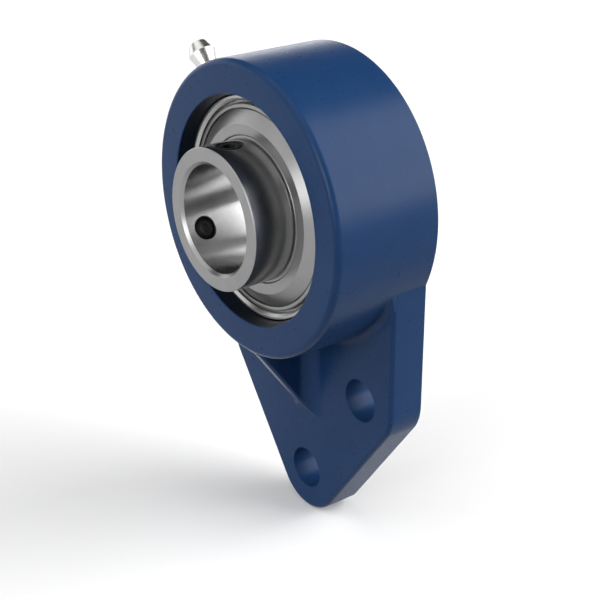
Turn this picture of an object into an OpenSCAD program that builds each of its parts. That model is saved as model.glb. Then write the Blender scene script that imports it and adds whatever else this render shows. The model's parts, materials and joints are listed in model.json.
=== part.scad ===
// Three-bolt flange bracket unit with a self-aligning insert ball bearing.
// The shaft lies along Y and the origin is the centre of the spherical seat. The set screws face -Y,
// the mounting face looks along +Y, and the flange hangs down along -Z.

/* [Housing barrel] */
// Thickness of the barrel around the outer ring of the bearing
barrel_wall = 8.5; // [7.5:0.1:12]
// From the bearing centre to the front face of the barrel
front_reach = 13.1; // [12:0.1:15]
// From the bearing centre to the mounting face
back_reach = 19.15; // [18:0.05:22]
// Radius of the rounded front edge of the barrel
barrel_round = 1.7; // [0.5:0.1:3]
// How much narrower than the outer ring the front opening is at each side
mouth_step = 0.4; // [0.1:0.05:0.9]
// How much wider than the outer ring the open recess behind the seat is at each side
rear_step = 0.6; // [0.3:0.05:2]
// Small bevel on the edges of both openings
mouth_bevel = 0.35; // [0.1:0.05:0.8]
// From the face of the outer ring to the edge of the spherical seat
seat_inset = 0.45; // [0.2:0.05:1]
// Radius of the casting blend between the barrel and the flange
barrel_blend = 2; // [1:0.1:3]

/* [Flange] */
// Thickness of the flange
flange_t = 10.85; // [8:0.05:13]
// Distance between the two upper bolt holes
upper_spacing = 46.7; // [44:0.1:50]
// Drop of the upper bolt holes below the shaft
upper_drop = 51.9; // [49:0.1:56]
// Drop of the lower bolt hole below the shaft
lower_drop = 84; // [80:0.1:92]
// Diameter of the bolt holes
bolt_hole_d = 12; // [9:0.1:14]
// Width of the flange around each bolt hole
eye_wall = 6.65; // [5.5:0.05:9]
// Radius of the rounded front edge of the flange
flange_round = 1.3; // [0.5:0.1:2]

/* [Gusset rib] */
// Thickness of the rib under the barrel
rib_t = 4.1; // [3:0.1:6]
// How far below the shaft the rib runs out on the flange
rib_drop = 65.4; // [60:0.1:70]
// Radius of the casting blend beside the rib
rib_blend = 4.6; // [2:0.1:6]
// Radius of the rib's own edges
rib_round = 1; // [0.4:0.1:1.5]

/* [Inner ring] */
// Diameter of the shaft bore, 1 1/8 inch
bore_d = 28.575; // [25:0.005:29.4]
// Width of the inner ring
inner_w = 38.1; // [37:0.1:41]
// From the bearing centre to the set screw end of the inner ring
inner_front = 22.2; // [21.5:0.1:24]
// How much lower than the lands beside the ball track the ring is where it stands out of the bearing
land_step = 0.67; // [0.4:0.01:1]
// Bevel at both ends of the bore
bore_bevel = 0.8; // [0.3:0.05:1.2]
// Bevel on the outer edges of the inner ring
ring_edge = 0.3; // [0.1:0.05:0.5]

/* [Outer ring] */
// Diameter of the spherical outer surface
outer_d = 62; // [61.8:0.02:62.2]
// Width of the outer ring
outer_w = 18; // [17.6:0.1:18.6]
// Height of the shoulders beside both ball tracks
shoulder_h = 1.2; // [0.9:0.05:1.5]
// How far the recess that holds each shield reaches outwards from the shoulder
recess_step = 1.65; // [1.4:0.05:1.8]
// Bevel at the mouth of the recess
recess_bevel = 0.7; // [0.3:0.05:0.8]
// Running gap between the ring and its seat in the housing
seat_gap = 0.03; // [0.02:0.005:0.05]
// Clearance around the ring in the two loading slots
slot_gap = 0.4; // [0.2:0.05:0.8]

/* [Balls and cage] */
// Diameter of the balls
ball_d = 9.525; // [9.4:0.005:9.6]
// How far outside the middle between bore and outer surface the ball centres lie
pitch_shift = 0.356; // [0.2:0.002:0.5]
// Radius of the ball tracks as a share of the ball diameter
track_fit = 0.52; // [0.515:0.005:0.53]
// Gap between a ball and each track
track_gap = 0.02; // [0.01:0.005:0.03]
// Thickness of the pressed steel of the cage
cage_t = 0.8; // [0.6:0.05:0.9]
// Width of the cage band, measured outwards from the shaft
cage_band = 4.8; // [4:0.1:5.2]
// Gap between a ball and its pocket
pocket_gap = 0.2; // [0.1:0.02:0.25]
// Diameter of the cage rivets
rivet_d = 1.6; // [1.2:0.1:1.8]
// Diameter of the rivet heads
rivet_head_d = 2.6; // [2.2:0.1:3]
// Height of the rivet heads
rivet_head_h = 0.55; // [0.3:0.05:0.7]

/* [Shields and flingers] */
// Thickness of the steel washer in each shield
washer_t = 0.6; // [0.4:0.05:0.7]
// From the cage to the shields
shield_room = 0.64; // [0.5:0.02:0.8]
// From the side of the recess in to the upright rim of the washer
rim_inset = 0.7; // [0.5:0.05:0.9]
// Width of the turned-in edge of that rim
rim_turn = 1.15; // [0.9:0.05:1.4]
// How deep the edge of the rim lies below the face of the outer ring
rim_sink = 0.4; // [0.2:0.05:0.6]
// From the inner ring to the edge of the steel washer
lip_h = 2.25; // [1.8:0.05:2.8]
// Thickness of the rubber moulded round the washer's inner edge
lip_t = 1.1; // [0.9:0.05:1.2]
// Gap between the rubber lip and the inner ring
lip_gap = 0.15; // [0.05:0.01:0.3]
// Thickness of the flinger sheet
flinger_t = 0.8; // [0.5:0.05:0.9]
// How far the flinger's flat stands out of the face of the outer ring
flinger_rise = 1.1; // [0.8:0.05:1.4]
// Width of the cone outside the flinger's flat
cone_w = 3.65; // [3:0.05:4.2]
// Gap between the flinger's edge and the rim of the washer around it
flinger_gap = 0.26; // [0.15:0.01:0.5]
// Gap between the flinger's edge and the washer behind it
flinger_room = 0.65; // [0.3:0.05:0.8]
// Gap between the flinger's sleeve and the land it is pressed on
press_gap = 0.02; // [0.01:0.005:0.05]
// From the flinger's flat back to the end of that land
land_sink = 0.4; // [0.2:0.05:0.6]

/* [Set screws] */
// Thread diameter of the set screws
screw_d = 6; // [5:0.1:6.4]
// From the end of the inner ring to the middle of the set screws
screw_inset = 5.9; // [5:0.1:7]
// Angle of the first set screw around the shaft
screw_angle = 91; // [80:1:100]
// Angle between the two set screws
screw_spread = 120; // [60:5:120]
// Width across the flats of the hexagon socket
socket_w = 3; // [2.5:0.5:3.5]
// Depth of the hexagon socket
socket_depth = 2; // [1.5:0.1:2.4]
// Clearance between a screw and its tapped hole
thread_gap = 0.04; // [0.02:0.01:0.08]
// Width and depth of the bevel at the mouth of each tapped hole
screw_bevel = 0.75; // [0.3:0.05:1]
// How far each screw's top lies below the ring's surface
screw_sink = 0.35; // [0.2:0.05:0.4]
// How far each screw's tip stays out of the bore
screw_clear = 0.13; // [0.05:0.01:0.2]

/* [Grease nipple] */
// Angle of the nipple around the shaft
nipple_angle = 135; // [120:1:150]
// From the bearing centre to the nipple, towards the front
nipple_forward = 2.15; // [1:0.05:3]
// Thread diameter of the nipple
nipple_thread_d = 6; // [5:0.1:6.4]
// Length of the thread in the housing
nipple_thread_l = 5.4; // [4:0.1:5.8]
// Width across the flats of the nipple's hexagon
nipple_hex_w = 7; // [6.5:0.1:8]
// Height of the hexagon
nipple_hex_h = 3.2; // [2:0.1:3.6]
// Height of the nipple above its seat on the barrel
nipple_h = 10.6; // [10:0.1:12]
// Widest diameter of the nipple's head
nipple_head_d = 7.6; // [6.5:0.05:7.8]
// Height of the widest part below the nipple's top
nipple_cone_h = 3.1; // [2.8:0.1:4]
// Diameter of the nipple's flat top
nipple_top_d = 5.15; // [4:0.05:5.3]
// Diameter of the neck over the hexagon
nipple_neck_d = 5.1; // [4.6:0.1:5.6]
// Depth of the spot face under the hexagon
nipple_spot = 0.4; // [0.2:0.05:0.6]
// Diameter of the check ball
check_ball_d = 2.4; // [2:0.05:2.5]
// Diameter of the hole that the check ball closes
inlet_d = 1.8; // [1.4:0.05:1.9]
// Wire of the spring behind the check ball
spring_wire = 0.3; // [0.2:0.02:0.35]
// Turns of that spring
spring_turns = 6; // [4:1:8]

/* [Grease way] */
// Diameter of the drilled grease holes
grease_hole_d = 2; // [1.4:0.1:2.4]
// Depth of the grease groove in the seat
groove_depth = 1; // [0.6:0.1:1.4]
// How far the groove reaches past the holes that open into it
groove_margin = 0.2; // [0.1:0.05:0.4]
// Diameter of the grease holes of the outer ring
ring_hole_d = 1.6; // [1.2:0.1:1.8]
// From the floor of the shield recess to those holes
ring_hole_inset = 1.8; // [1.6:0.05:2]

/* [Hidden] */
BALLS = 9;

FINE = 160;
MEDIUM = 64;
SMALL = 32;
HEX = 6;
FRONT = -1;
REAR = 1;
// How far a cut runs past the surface that it opens, and a hidden end into what it joins
OVER = 1;

barrel_r = outer_d / 2 + barrel_wall;
body_w = front_reach + back_reach;
seat_r = outer_d / 2 + seat_gap;
seat_edge = outer_w / 2 - seat_inset;
seat_edge_r = sqrt(pow(seat_r, 2) - pow(seat_edge, 2));
flange_front = back_reach - flange_t;
eye_r = bolt_hole_d / 2 + eye_wall;
// The rib starts a little inside the barrel
rib_top = barrel_r - 0.6;
rib_start = front_reach - barrel_round;

ball_r = ball_d / 2;
pitch_r = (bore_d + outer_d) / 4 + pitch_shift;
track_r = ball_d * track_fit;
inner_track_x = pitch_r - ball_r - track_gap + track_r;
outer_track_x = pitch_r + ball_r + track_gap - track_r;
inner_land_r = pitch_r - ball_r + shoulder_h;
outer_land_r = pitch_r + ball_r - shoulder_h;
bore_r = bore_d / 2;
collar_r = inner_land_r - land_step;
inner_back = inner_w - inner_front;

pocket_r = ball_r + pocket_gap;
cage_reach = pocket_r + cage_t;
cage_in = pitch_r - cage_band / 2;
ball_step = 360 / BALLS;

recess_r = outer_land_r + recess_step;
recess_floor = cage_reach + shield_room;
washer_top = recess_floor + washer_t;
washer_bore_r = inner_land_r + lip_h;
rim_r = recess_r - rim_inset;
rim_lip_r = rim_r - rim_turn;
rim_reach = outer_w / 2 - rim_sink;
flinger_r = rim_lip_r - flinger_gap;
flinger_flat_r = flinger_r - cone_w;
flinger_reach = outer_w / 2 + flinger_rise;
// The sleeve ends just outside the lip
sleeve_end = washer_top + 0.5;
sleeve_r = inner_land_r + press_gap;
land_half = flinger_reach - land_sink;

screw_y = screw_inset - inner_front;
screw_tip = bore_r + screw_clear;
screw_top = collar_r - screw_sink;

ring_hole_reach = recess_floor - ring_hole_inset;
groove_inner = nipple_forward - grease_hole_d / 2 - groove_margin;
groove_outer = ring_hole_reach + ring_hole_d / 2 + groove_margin;
nipple_seat = barrel_r - nipple_spot;
nipple_top = nipple_seat + nipple_h;
nipple_widest = nipple_top - nipple_cone_h;
check_ball_r = check_ball_d / 2;
chamber_room = 0.15;
chamber_r = check_ball_r + chamber_room;
// Depth below the inlet's edge at which the check ball touches that edge
ball_dip = sqrt(pow(check_ball_r, 2) - pow(inlet_d / 2, 2));
ball_play = 0.02;
inlet_depth = 0.4;
inlet_edge = nipple_top - inlet_depth;
check_ball_h = inlet_edge - ball_dip - ball_play;
chamber_floor = nipple_seat + 1.4;
spring_r = check_ball_r - spring_wire / 2 - 0.1;
spring_low = chamber_floor + spring_wire / 2;
spring_high = check_ball_h - sqrt(pow(check_ball_r + spring_wire / 2, 2) - pow(spring_r, 2)) - ball_play;

PAINT = [0.16, 0.27, 0.46];
STEEL = [0.72, 0.73, 0.74];
DARK_STEEL = [0.20, 0.21, 0.23];
BRIGHT = [0.85, 0.86, 0.87];
SHEET = [0.66, 0.67, 0.68];
RUBBER = [0.10, 0.10, 0.11];
ZINC = [0.78, 0.78, 0.76];

// A profile of radius and place along the shaft, turned about the shaft
module turned(sides = FINE) {
    rotate([-90, 0, 0]) rotate_extrude($fn = sides) children();
}

// What is drawn at the rear, turned round to the chosen side of the bearing
module to_side(side) {
    rotate([0, 0, side == FRONT ? 180 : 0]) children();
}

// Children stand at an angle round the shaft with their Z axis pointing outwards
module radially(angle, y) {
    translate([0, y, 0]) rotate([0, 90 - angle, 0]) children();
}

// An outline drawn in X and Z, made as thick as told in front of the plane y
module upright(y, thickness) {
    translate([0, y, 0]) rotate([90, 0, 0]) linear_extrude(thickness) children();
}

// A disc standing on the mounting plane with a rounded front edge
module flange_eye(x, z) {
    straight = flange_t - flange_round;
    translate([x, back_reach, z]) rotate([90, 0, 0]) rotate_extrude($fn = MEDIUM)
        polygon(concat(
            [[0, 0], [eye_r, 0]],
            [for (a = [0:22.5:90])
                [eye_r - flange_round + flange_round * cos(a), straight + flange_round * sin(a)]],
            [[0, flange_t]]
        ));
}

module flange_plate() {
    // The upper corners lie just inside the barrel
    reach = barrel_r - eye_r - 0.3;
    shoulder = sqrt(max(0, pow(reach, 2) - pow(upper_spacing / 2, 2)));
    hull() {
        for (x = [-upper_spacing / 2, upper_spacing / 2]) {
            flange_eye(x, -shoulder);
            flange_eye(x, -upper_drop);
        }
        flange_eye(0, -lower_drop);
    }
}

// The outline of the flange, less its rounded edge
module flange_outline() {
    half = upper_spacing / 2 + eye_r - flange_round;
    polygon([[-half, 0], [half, 0], [half, -upper_drop], [0, -lower_drop], [-half, -upper_drop]]);
}

// Side view of the rib as Y and Z
module rib_side() {
    polygon([[-rib_start, -rib_top], [flange_front, -rib_drop], [flange_front + OVER, -rib_drop],
        [flange_front + OVER, -rib_top + 4 * OVER], [-rib_start, -rib_top + 4 * OVER]]);
}

module rib_slab(width) {
    translate([-width / 2, 0, 0]) rotate([90, 0, 90]) linear_extrude(width) rib_side();
}

module rib() {
    inset = rib_t / 2 - rib_round;
    hull()
        for (x = [-inset, inset], end = [0, 1]) {
            y = end == 0 ? -rib_start + rib_round : flange_front + rib_round;
            z = end == 0 ? -rib_top + rib_round : -rib_drop + rib_round;
            translate([x, y, z]) sphere(r = rib_round, $fn = SMALL);
            translate([x, flange_front + rib_round, -rib_top + rib_round]) sphere(r = rib_round, $fn = SMALL);
        }
    // Blend along the flange and along the barrel, kept under the rib's own slope
    intersection() {
        rib_slab(rib_t + 2 * rib_blend);
        union() {
            translate([0, 0, -rib_drop]) linear_extrude(rib_drop - rib_top)
                blend_feet(flange_front, rib_blend);
            translate([0, -rib_start, 0]) rotate([-90, 0, 0]) linear_extrude(rib_start + flange_front)
                mirror([0, 1]) translate([0, -barrel_r]) rotate(180) blend_feet(0, barrel_blend);
        }
    }
}

// Two concave feet beside the rib that reach the line y
module blend_feet(y, radius) {
    difference() {
        translate([-rib_t / 2 - radius, y - radius]) square([rib_t + 2 * radius, radius + 0.6]);
        for (side = [-1, 1])
            translate([side * (rib_t / 2 + radius), y - radius]) circle(r = radius, $fn = MEDIUM);
    }
}

// The concave ring between the barrel and the front of the flange
module barrel_foot() {
    intersection() {
        turned() difference() {
            translate([barrel_r - OVER, flange_front - barrel_blend])
                square([OVER + barrel_blend, barrel_blend + OVER / 2]);
            translate([barrel_r + barrel_blend, flange_front - barrel_blend])
                circle(r = barrel_blend, $fn = MEDIUM);
        }
        upright(flange_front + OVER, barrel_blend + 2 * OVER) flange_outline();
    }
}

module barrel_profile() {
    round_x = barrel_r - barrel_round;
    translate([0, -front_reach]) square([round_x, body_w]);
    translate([0, -front_reach + barrel_round]) square([barrel_r, body_w - barrel_round]);
    translate([round_x, -front_reach + barrel_round]) circle(r = barrel_round, $fn = MEDIUM);
}

// All that is open round the shaft: the mouth, the spherical seat, the groove and the rear recess
module seat_profile() {
    mouth_r = outer_d / 2 - mouth_step;
    rear_r = outer_d / 2 + rear_step;
    rear_start = seat_edge + rear_r - seat_edge_r;
    intersection() {
        circle(r = seat_r, $fn = FINE);
        translate([0, -seat_edge]) square([seat_r + OVER, 2 * seat_edge]);
    }
    polygon([
        [0, -front_reach - OVER], [mouth_r + mouth_bevel + OVER, -front_reach - OVER],
        [mouth_r, -front_reach + mouth_bevel], [seat_edge_r, -seat_edge], [0, -seat_edge]
    ]);
    polygon([
        [0, seat_edge], [seat_edge_r, seat_edge], [rear_r, rear_start],
        [rear_r, back_reach - mouth_bevel], [rear_r + mouth_bevel + OVER, back_reach + OVER],
        [0, back_reach + OVER]
    ]);
    translate([0, -groove_outer]) square([seat_r + groove_depth, groove_outer - groove_inner]);
}

// Two slots through which the ring is put in edge-on, from the back to the middle of the seat
module loading_slots() {
    slot_w = outer_w + 2 * slot_gap;
    intersection() {
        turned() square([seat_r + slot_gap / 4, back_reach + OVER]);
        translate([-barrel_r, 0, -slot_w / 2]) cube([2 * barrel_r, back_reach + OVER, slot_w]);
    }
}

module housing() {
    color(PAINT) difference() {
        union() {
            turned() intersection() {
                barrel_profile();
                translate([0, -front_reach]) square([barrel_r, body_w]);
            }
            flange_plate();
            rib();
            barrel_foot();
        }
        turned() seat_profile();
        loading_slots();
        for (x = [-upper_spacing / 2, upper_spacing / 2])
            bolt_hole(x, -upper_drop);
        bolt_hole(0, -lower_drop);
        radially(nipple_angle, -nipple_forward) nipple_well();
    }
}

module bolt_hole(x, z) {
    translate([x, back_reach + OVER, z]) rotate([90, 0, 0])
        cylinder(d = bolt_hole_d, h = flange_t + 2 * OVER, $fn = MEDIUM);
}

// Spot face, tapped hole and grease drilling for the nipple
module nipple_well() {
    spot_room = 0.7;
    end_room = 0.3;
    spot_d = nipple_hex_w / cos(30) + 2 * spot_room;
    well_floor = nipple_seat - nipple_thread_l - end_room;
    translate([0, 0, nipple_seat]) cylinder(d = spot_d, h = nipple_spot + OVER, $fn = MEDIUM);
    translate([0, 0, well_floor])
        cylinder(d = nipple_thread_d + 2 * thread_gap, h = nipple_thread_l + OVER, $fn = MEDIUM);
    translate([0, 0, seat_r - 2 * OVER])
        cylinder(d = grease_hole_d, h = well_floor - seat_r + 3 * OVER, $fn = SMALL);
}

// Outer shape of the nipple as radius and distance from the shaft
module nipple_profile() {
    shank = nipple_seat - nipple_thread_l;
    neck = nipple_seat + nipple_hex_h;
    lead = 0.5;
    edge = 0.2;
    polygon([
        [0, shank], [nipple_thread_d / 2 - lead, shank], [nipple_thread_d / 2, shank + lead],
        [nipple_thread_d / 2, nipple_seat + edge], [nipple_neck_d / 2, nipple_seat + edge],
        [nipple_neck_d / 2, neck + edge], [nipple_head_d / 2 - edge / 2, nipple_widest - edge],
        [nipple_head_d / 2, nipple_widest], [nipple_head_d / 2 - edge / 2, nipple_widest + edge],
        [nipple_top_d / 2 + edge / 2, nipple_top - edge], [nipple_top_d / 2 - edge, nipple_top],
        [0, nipple_top]
    ]);
}

// The way for grease: an inlet that the ball closes, the spring chamber and the outlet
module nipple_way() {
    outlet_r = check_ball_r * 0.65;
    translate([0, 0, nipple_seat - nipple_thread_l - OVER])
        cylinder(r = outlet_r, h = nipple_h + nipple_thread_l, $fn = SMALL);
    translate([0, 0, inlet_edge]) cylinder(d = inlet_d, h = OVER, $fn = SMALL);
    rotate_extrude($fn = SMALL) polygon([
        [0, chamber_floor], [chamber_r, chamber_floor], [chamber_r, inlet_edge - 0.5],
        [inlet_d / 2, inlet_edge], [0, inlet_edge]
    ]);
}

module grease_nipple() {
    color(ZINC) radially(nipple_angle, -nipple_forward) difference() {
        union() {
            rotate_extrude($fn = MEDIUM) nipple_profile();
            intersection() {
                translate([0, 0, nipple_seat])
                    cylinder(d = nipple_hex_w / cos(30), h = nipple_hex_h, $fn = HEX);
                // A cone that bevels the upper corners of the hexagon
                translate([0, 0, nipple_seat])
                    cylinder(d1 = 2 * nipple_hex_w, d2 = nipple_hex_w, h = nipple_hex_h, $fn = MEDIUM);
            }
        }
        nipple_way();
    }
}

module nipple_ball() {
    color(BRIGHT) radially(nipple_angle, -nipple_forward)
        translate([0, 0, check_ball_h]) sphere(r = check_ball_r, $fn = SMALL);
}

// A wire of hexagonal section wound on a helix, its end turns lying closed
module nipple_spring() {
    steps = 14;
    count = steps * spring_turns;
    rise = spring_high - spring_low;
    rings = [for (i = [0:count])
        let (a = 360 * i / steps, t = i / count, z = spring_low + rise * t)
        [for (k = [0:HEX - 1])
            let (b = 360 * k / HEX, r = spring_r + spring_wire / 2 * cos(b))
            [r * cos(a), r * sin(a), z + spring_wire / 2 * sin(b)]]];
    points = [for (ring = rings) each ring];
    walls = [for (i = [0:count - 1], k = [0:HEX - 1])
        let (n = (k + 1) % HEX) [i * HEX + k, i * HEX + n, (i + 1) * HEX + n, (i + 1) * HEX + k]];
    ends = [[for (k = [HEX - 1:-1:0]) k], [for (k = [0:HEX - 1]) count * HEX + k]];
    color(STEEL) radially(nipple_angle, -nipple_forward) polyhedron(points, concat(walls, ends), 4);
}

module outer_ring() {
    half = outer_w / 2;
    color(BRIGHT) difference() {
        turned() difference() {
            intersection() {
                circle(d = outer_d, $fn = FINE);
                translate([0, -half]) square([outer_d, outer_w]);
            }
            translate([0, -outer_w]) square([outer_land_r, 2 * outer_w]);
            translate([outer_track_x, 0]) circle(r = track_r, $fn = MEDIUM);
            for (side = [0, 1]) mirror([0, side]) {
                translate([0, recess_floor]) square([recess_r, outer_w]);
                polygon([[0, half - recess_bevel], [recess_r, half - recess_bevel],
                    [recess_r + recess_bevel, half], [recess_r + recess_bevel, half + OVER],
                    [0, half + OVER]]);
            }
        }
        for (angle = [nipple_angle, nipple_angle + 180])
            radially(angle, -ring_hole_reach) cylinder(d = ring_hole_d, h = outer_d, $fn = SMALL);
    }
}

module inner_ring() {
    color(STEEL) difference() {
        turned() difference() {
            union() {
                polygon([
                    [bore_r + bore_bevel, -inner_front], [collar_r - ring_edge, -inner_front],
                    [collar_r, -inner_front + ring_edge], [collar_r, inner_back - ring_edge],
                    [collar_r - ring_edge, inner_back], [bore_r + bore_bevel, inner_back],
                    [bore_r, inner_back - bore_bevel], [bore_r, -inner_front + bore_bevel]
                ]);
                translate([collar_r - OVER, -land_half]) square([land_step + OVER, 2 * land_half]);
            }
            translate([inner_track_x, 0]) circle(r = track_r, $fn = MEDIUM);
        }
        for (i = [0, 1]) radially(screw_angle + i * screw_spread, screw_y) tapped_hole();
    }
}

module tapped_hole() {
    hole_d = screw_d + 2 * thread_gap;
    cylinder(d = hole_d, h = 2 * collar_r, $fn = MEDIUM);
    translate([0, 0, collar_r - screw_bevel])
        cylinder(d1 = hole_d, d2 = hole_d + 2 * (screw_bevel + OVER), h = screw_bevel + OVER, $fn = MEDIUM);
}

module ball(i) {
    color(BRIGHT) radially(90 - i * ball_step, 0) translate([0, 0, pitch_r]) sphere(r = ball_r, $fn = MEDIUM);
}

// One pressed half of the riveted cage
module cage_half(side) {
    color(SHEET) to_side(side) intersection() {
        turned() translate([cage_in, 0]) square([cage_band, cage_reach]);
        difference() {
            union() {
                turned() translate([cage_in, 0]) square([cage_band, cage_t]);
                for (i = [1:BALLS]) cage_pocket(i, cage_reach);
            }
            for (i = [1:BALLS]) cage_pocket(i, pocket_r);
            cage_rivet_places() cylinder(d = rivet_d, h = 2 * cage_reach, center = true, $fn = SMALL);
        }
    }
}

module cage_pocket(i, radius) {
    radially(90 - i * ball_step, 0) translate([0, 0, pitch_r]) sphere(r = radius, $fn = MEDIUM);
}

// Between each two pockets, with the Z axis along the shaft
module cage_rivet_places() {
    for (i = [1:BALLS])
        radially(90 - (i + 0.5) * ball_step, 0) translate([0, 0, pitch_r]) rotate([90, 0, 0]) children();
}

module cage_rivets() {
    end = cage_t + rivet_head_h;
    color(STEEL) cage_rivet_places() rotate_extrude($fn = SMALL) polygon([
        [0, -end], [rivet_head_d / 4, -end], [rivet_head_d / 2, -cage_t - rivet_head_h / 3],
        [rivet_head_d / 2, -cage_t], [rivet_d / 2, -cage_t], [rivet_d / 2, cage_t],
        [rivet_head_d / 2, cage_t], [rivet_head_d / 2, cage_t + rivet_head_h / 3],
        [rivet_head_d / 4, end], [0, end]
    ]);
}

// Steel washer held in the outer ring, with a rim that shrouds the flinger's edge
module shield_washer(side) {
    bend = 0.25;
    rim_t = washer_t - 0.1;
    color(SHEET) to_side(side) turned() polygon([
        [washer_bore_r, recess_floor], [recess_r, recess_floor], [recess_r, washer_top],
        [rim_r, washer_top], [rim_r, rim_reach - bend], [rim_r - bend, rim_reach],
        [rim_lip_r, rim_reach], [rim_lip_r, rim_reach - rim_t],
        [rim_r - washer_t, rim_reach - washer_t], [rim_r - washer_t, washer_top],
        [washer_bore_r, washer_top]
    ]);
}

// Rubber moulded round the washer's inner edge, with a lip that wipes the inner ring
module shield_lip(side) {
    base = recess_floor + washer_t / 2;
    tip_r = inner_land_r + lip_gap;
    grip = 1.4;
    inner_taper = 0.5;
    outer_taper = 1.1;
    color(RUBBER) to_side(side) turned() difference() {
        polygon([
            [tip_r, base - 0.25], [tip_r + inner_taper, base - lip_t / 2],
            [washer_bore_r + grip, base - lip_t / 2], [washer_bore_r + grip, base + lip_t / 2],
            [tip_r + outer_taper, base + lip_t / 2], [tip_r, base + 0.15]
        ]);
        translate([washer_bore_r, recess_floor]) square([grip + OVER, washer_t]);
    }
}

// Sheet-steel disc pressed on the outer end of the land, a flat that turns into a shallow cone
module flinger(side) {
    under = washer_top + flinger_room;
    edge = 0.35;
    burr = 0.1;
    rim_y = under + edge + burr;
    outer_bend = 0.3;
    inner_bend = 0.3;
    color(SHEET) to_side(side) turned() polygon([
        [sleeve_r, sleeve_end], [sleeve_r + flinger_t, sleeve_end],
        [sleeve_r + flinger_t, flinger_reach - flinger_t],
        [flinger_flat_r - outer_bend, flinger_reach - flinger_t],
        [flinger_r - edge - burr, under], [flinger_r - burr, under + burr], [flinger_r, rim_y],
        [flinger_r - edge, rim_y + edge], [flinger_flat_r, flinger_reach],
        [sleeve_r + inner_bend, flinger_reach], [sleeve_r, flinger_reach - inner_bend]
    ]);
}

// Headless screw with a hexagon socket and a cup point
module set_screw(index) {
    r = screw_d / 2;
    cup_h = 0.5;
    point_h = 0.7;
    top_bevel = 0.4;
    radially(screw_angle + (index - 1) * screw_spread, screw_y) color(DARK_STEEL) difference() {
        rotate_extrude($fn = MEDIUM) polygon([
            [0, screw_tip + cup_h], [r * 0.35, screw_tip], [r * 0.6, screw_tip], [r, screw_tip + point_h],
            [r, screw_top - top_bevel], [r - top_bevel, screw_top], [0, screw_top]
        ]);
        translate([0, 0, screw_top - socket_depth])
            cylinder(d = socket_w / cos(30), h = socket_depth + OVER, $fn = HEX);
    }
}

housing();
grease_nipple();
nipple_ball();
nipple_spring();
outer_ring();
inner_ring();
for (i = [1:BALLS]) ball(i);
cage_half(FRONT);  // cage_front
cage_half(REAR);  // cage_rear
cage_rivets();
shield_washer(FRONT);  // front_washer
shield_lip(FRONT);  // front_lip
shield_washer(REAR);  // rear_washer
shield_lip(REAR);  // rear_lip
flinger(FRONT);  // front_flinger
flinger(REAR);  // rear_flinger
set_screw(1);  // set_screw_1
set_screw(2);  // set_screw_2
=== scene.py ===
"""Looks of a flange bearing unit: a painted cast housing, an insert ball bearing and a grease nipple.

The shaft lies along Y, the set screws face -Y and the flange hangs down. Lengths are metres.
"""
import json
import math

import bmesh
import bpy
from bpy.props import FloatProperty, FloatVectorProperty, IntProperty, PointerProperty
from bpy.types import Operator, Panel, PropertyGroup
from mathutils import Matrix, Vector


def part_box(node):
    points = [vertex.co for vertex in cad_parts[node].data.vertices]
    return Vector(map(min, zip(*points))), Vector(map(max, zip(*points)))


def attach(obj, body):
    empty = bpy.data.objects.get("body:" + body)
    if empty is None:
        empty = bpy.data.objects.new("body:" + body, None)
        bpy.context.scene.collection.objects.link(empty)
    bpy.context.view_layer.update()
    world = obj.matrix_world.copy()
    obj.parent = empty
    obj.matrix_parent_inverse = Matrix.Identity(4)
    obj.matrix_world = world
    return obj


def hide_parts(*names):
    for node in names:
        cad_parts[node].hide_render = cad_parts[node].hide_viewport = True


bl_info = {
    "name": "Flange bearing unit",
    "version": (1, 0, 0),
    "blender": (4, 5, 0),
    "location": "View3D > Sidebar > Bearing unit",
    "description": "Models and finishes the pieces of a flange bearing unit round its CAD frame",
    "category": "Object",
}

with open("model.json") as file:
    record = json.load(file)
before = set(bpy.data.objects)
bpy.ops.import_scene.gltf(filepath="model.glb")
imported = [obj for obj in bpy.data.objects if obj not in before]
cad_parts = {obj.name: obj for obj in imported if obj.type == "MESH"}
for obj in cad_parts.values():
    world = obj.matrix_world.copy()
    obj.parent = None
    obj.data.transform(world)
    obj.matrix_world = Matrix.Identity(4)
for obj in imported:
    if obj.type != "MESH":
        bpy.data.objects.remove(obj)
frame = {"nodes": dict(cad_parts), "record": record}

MM = 0.001
FULL_TURN = 2 * math.pi
SHAFT = Vector((0, 1, 0))
CENTRE = Vector((0, 0, 0))
WELD = 0.002 * MM  # points nearer than this are one
OVER = 1 * MM  # how far a cutter stands out of what it cuts
EDGE = 0.1 * MM  # radius of a lightly broken edge
THREAD_DEPTH = 0.55 * MM
THREAD_PLAY = 0.01 * MM

HOUSING_LOW, HOUSING_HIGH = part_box("housing")
BARREL_R = HOUSING_HIGH.x
FRONT_Y = HOUSING_LOW.y
BACK_Y = HOUSING_HIGH.y
FLOOR_Z = HOUSING_LOW.z
MOUNTS = {mount["name"]: mount for mount in frame["record"]["mounts"]}
RING_LOW, RING_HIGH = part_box("inner_ring")
OUTER_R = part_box("outer_ring")[1].x
OUTER_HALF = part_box("outer_ring")[1].y
BALL_LOW, BALL_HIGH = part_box("ball_9")
BALL_R = (BALL_HIGH.x - BALL_LOW.x) / 2
PITCH_R = BALL_HIGH.z - BALL_R
BALLS = sum(name.startswith("ball_") for name in frame["nodes"])
BORE_R = MOUNTS["shaft_bore"]["dims"]["r_mm"] * MM
HOLE_R = MOUNTS["lower_bolt"]["dims"]["r_mm"] * MM
UPPER_X = MOUNTS["upper_bolts"]["dims"]["spacing_x_mm"] * MM / 2
UPPER_Z = MOUNTS["upper_bolts"]["pos_m"][2]
LOWER_Z = MOUNTS["lower_bolt"]["pos_m"][2]
EYE_R = LOWER_Z - FLOOR_Z


def length(name, description, default, **extra):
    """A length that a user may change, given in millimetres and kept in metres."""
    return FloatProperty(name=name, description=description, default=default * MM, min=0,
                         precision=5, unit="LENGTH", **extra)


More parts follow.
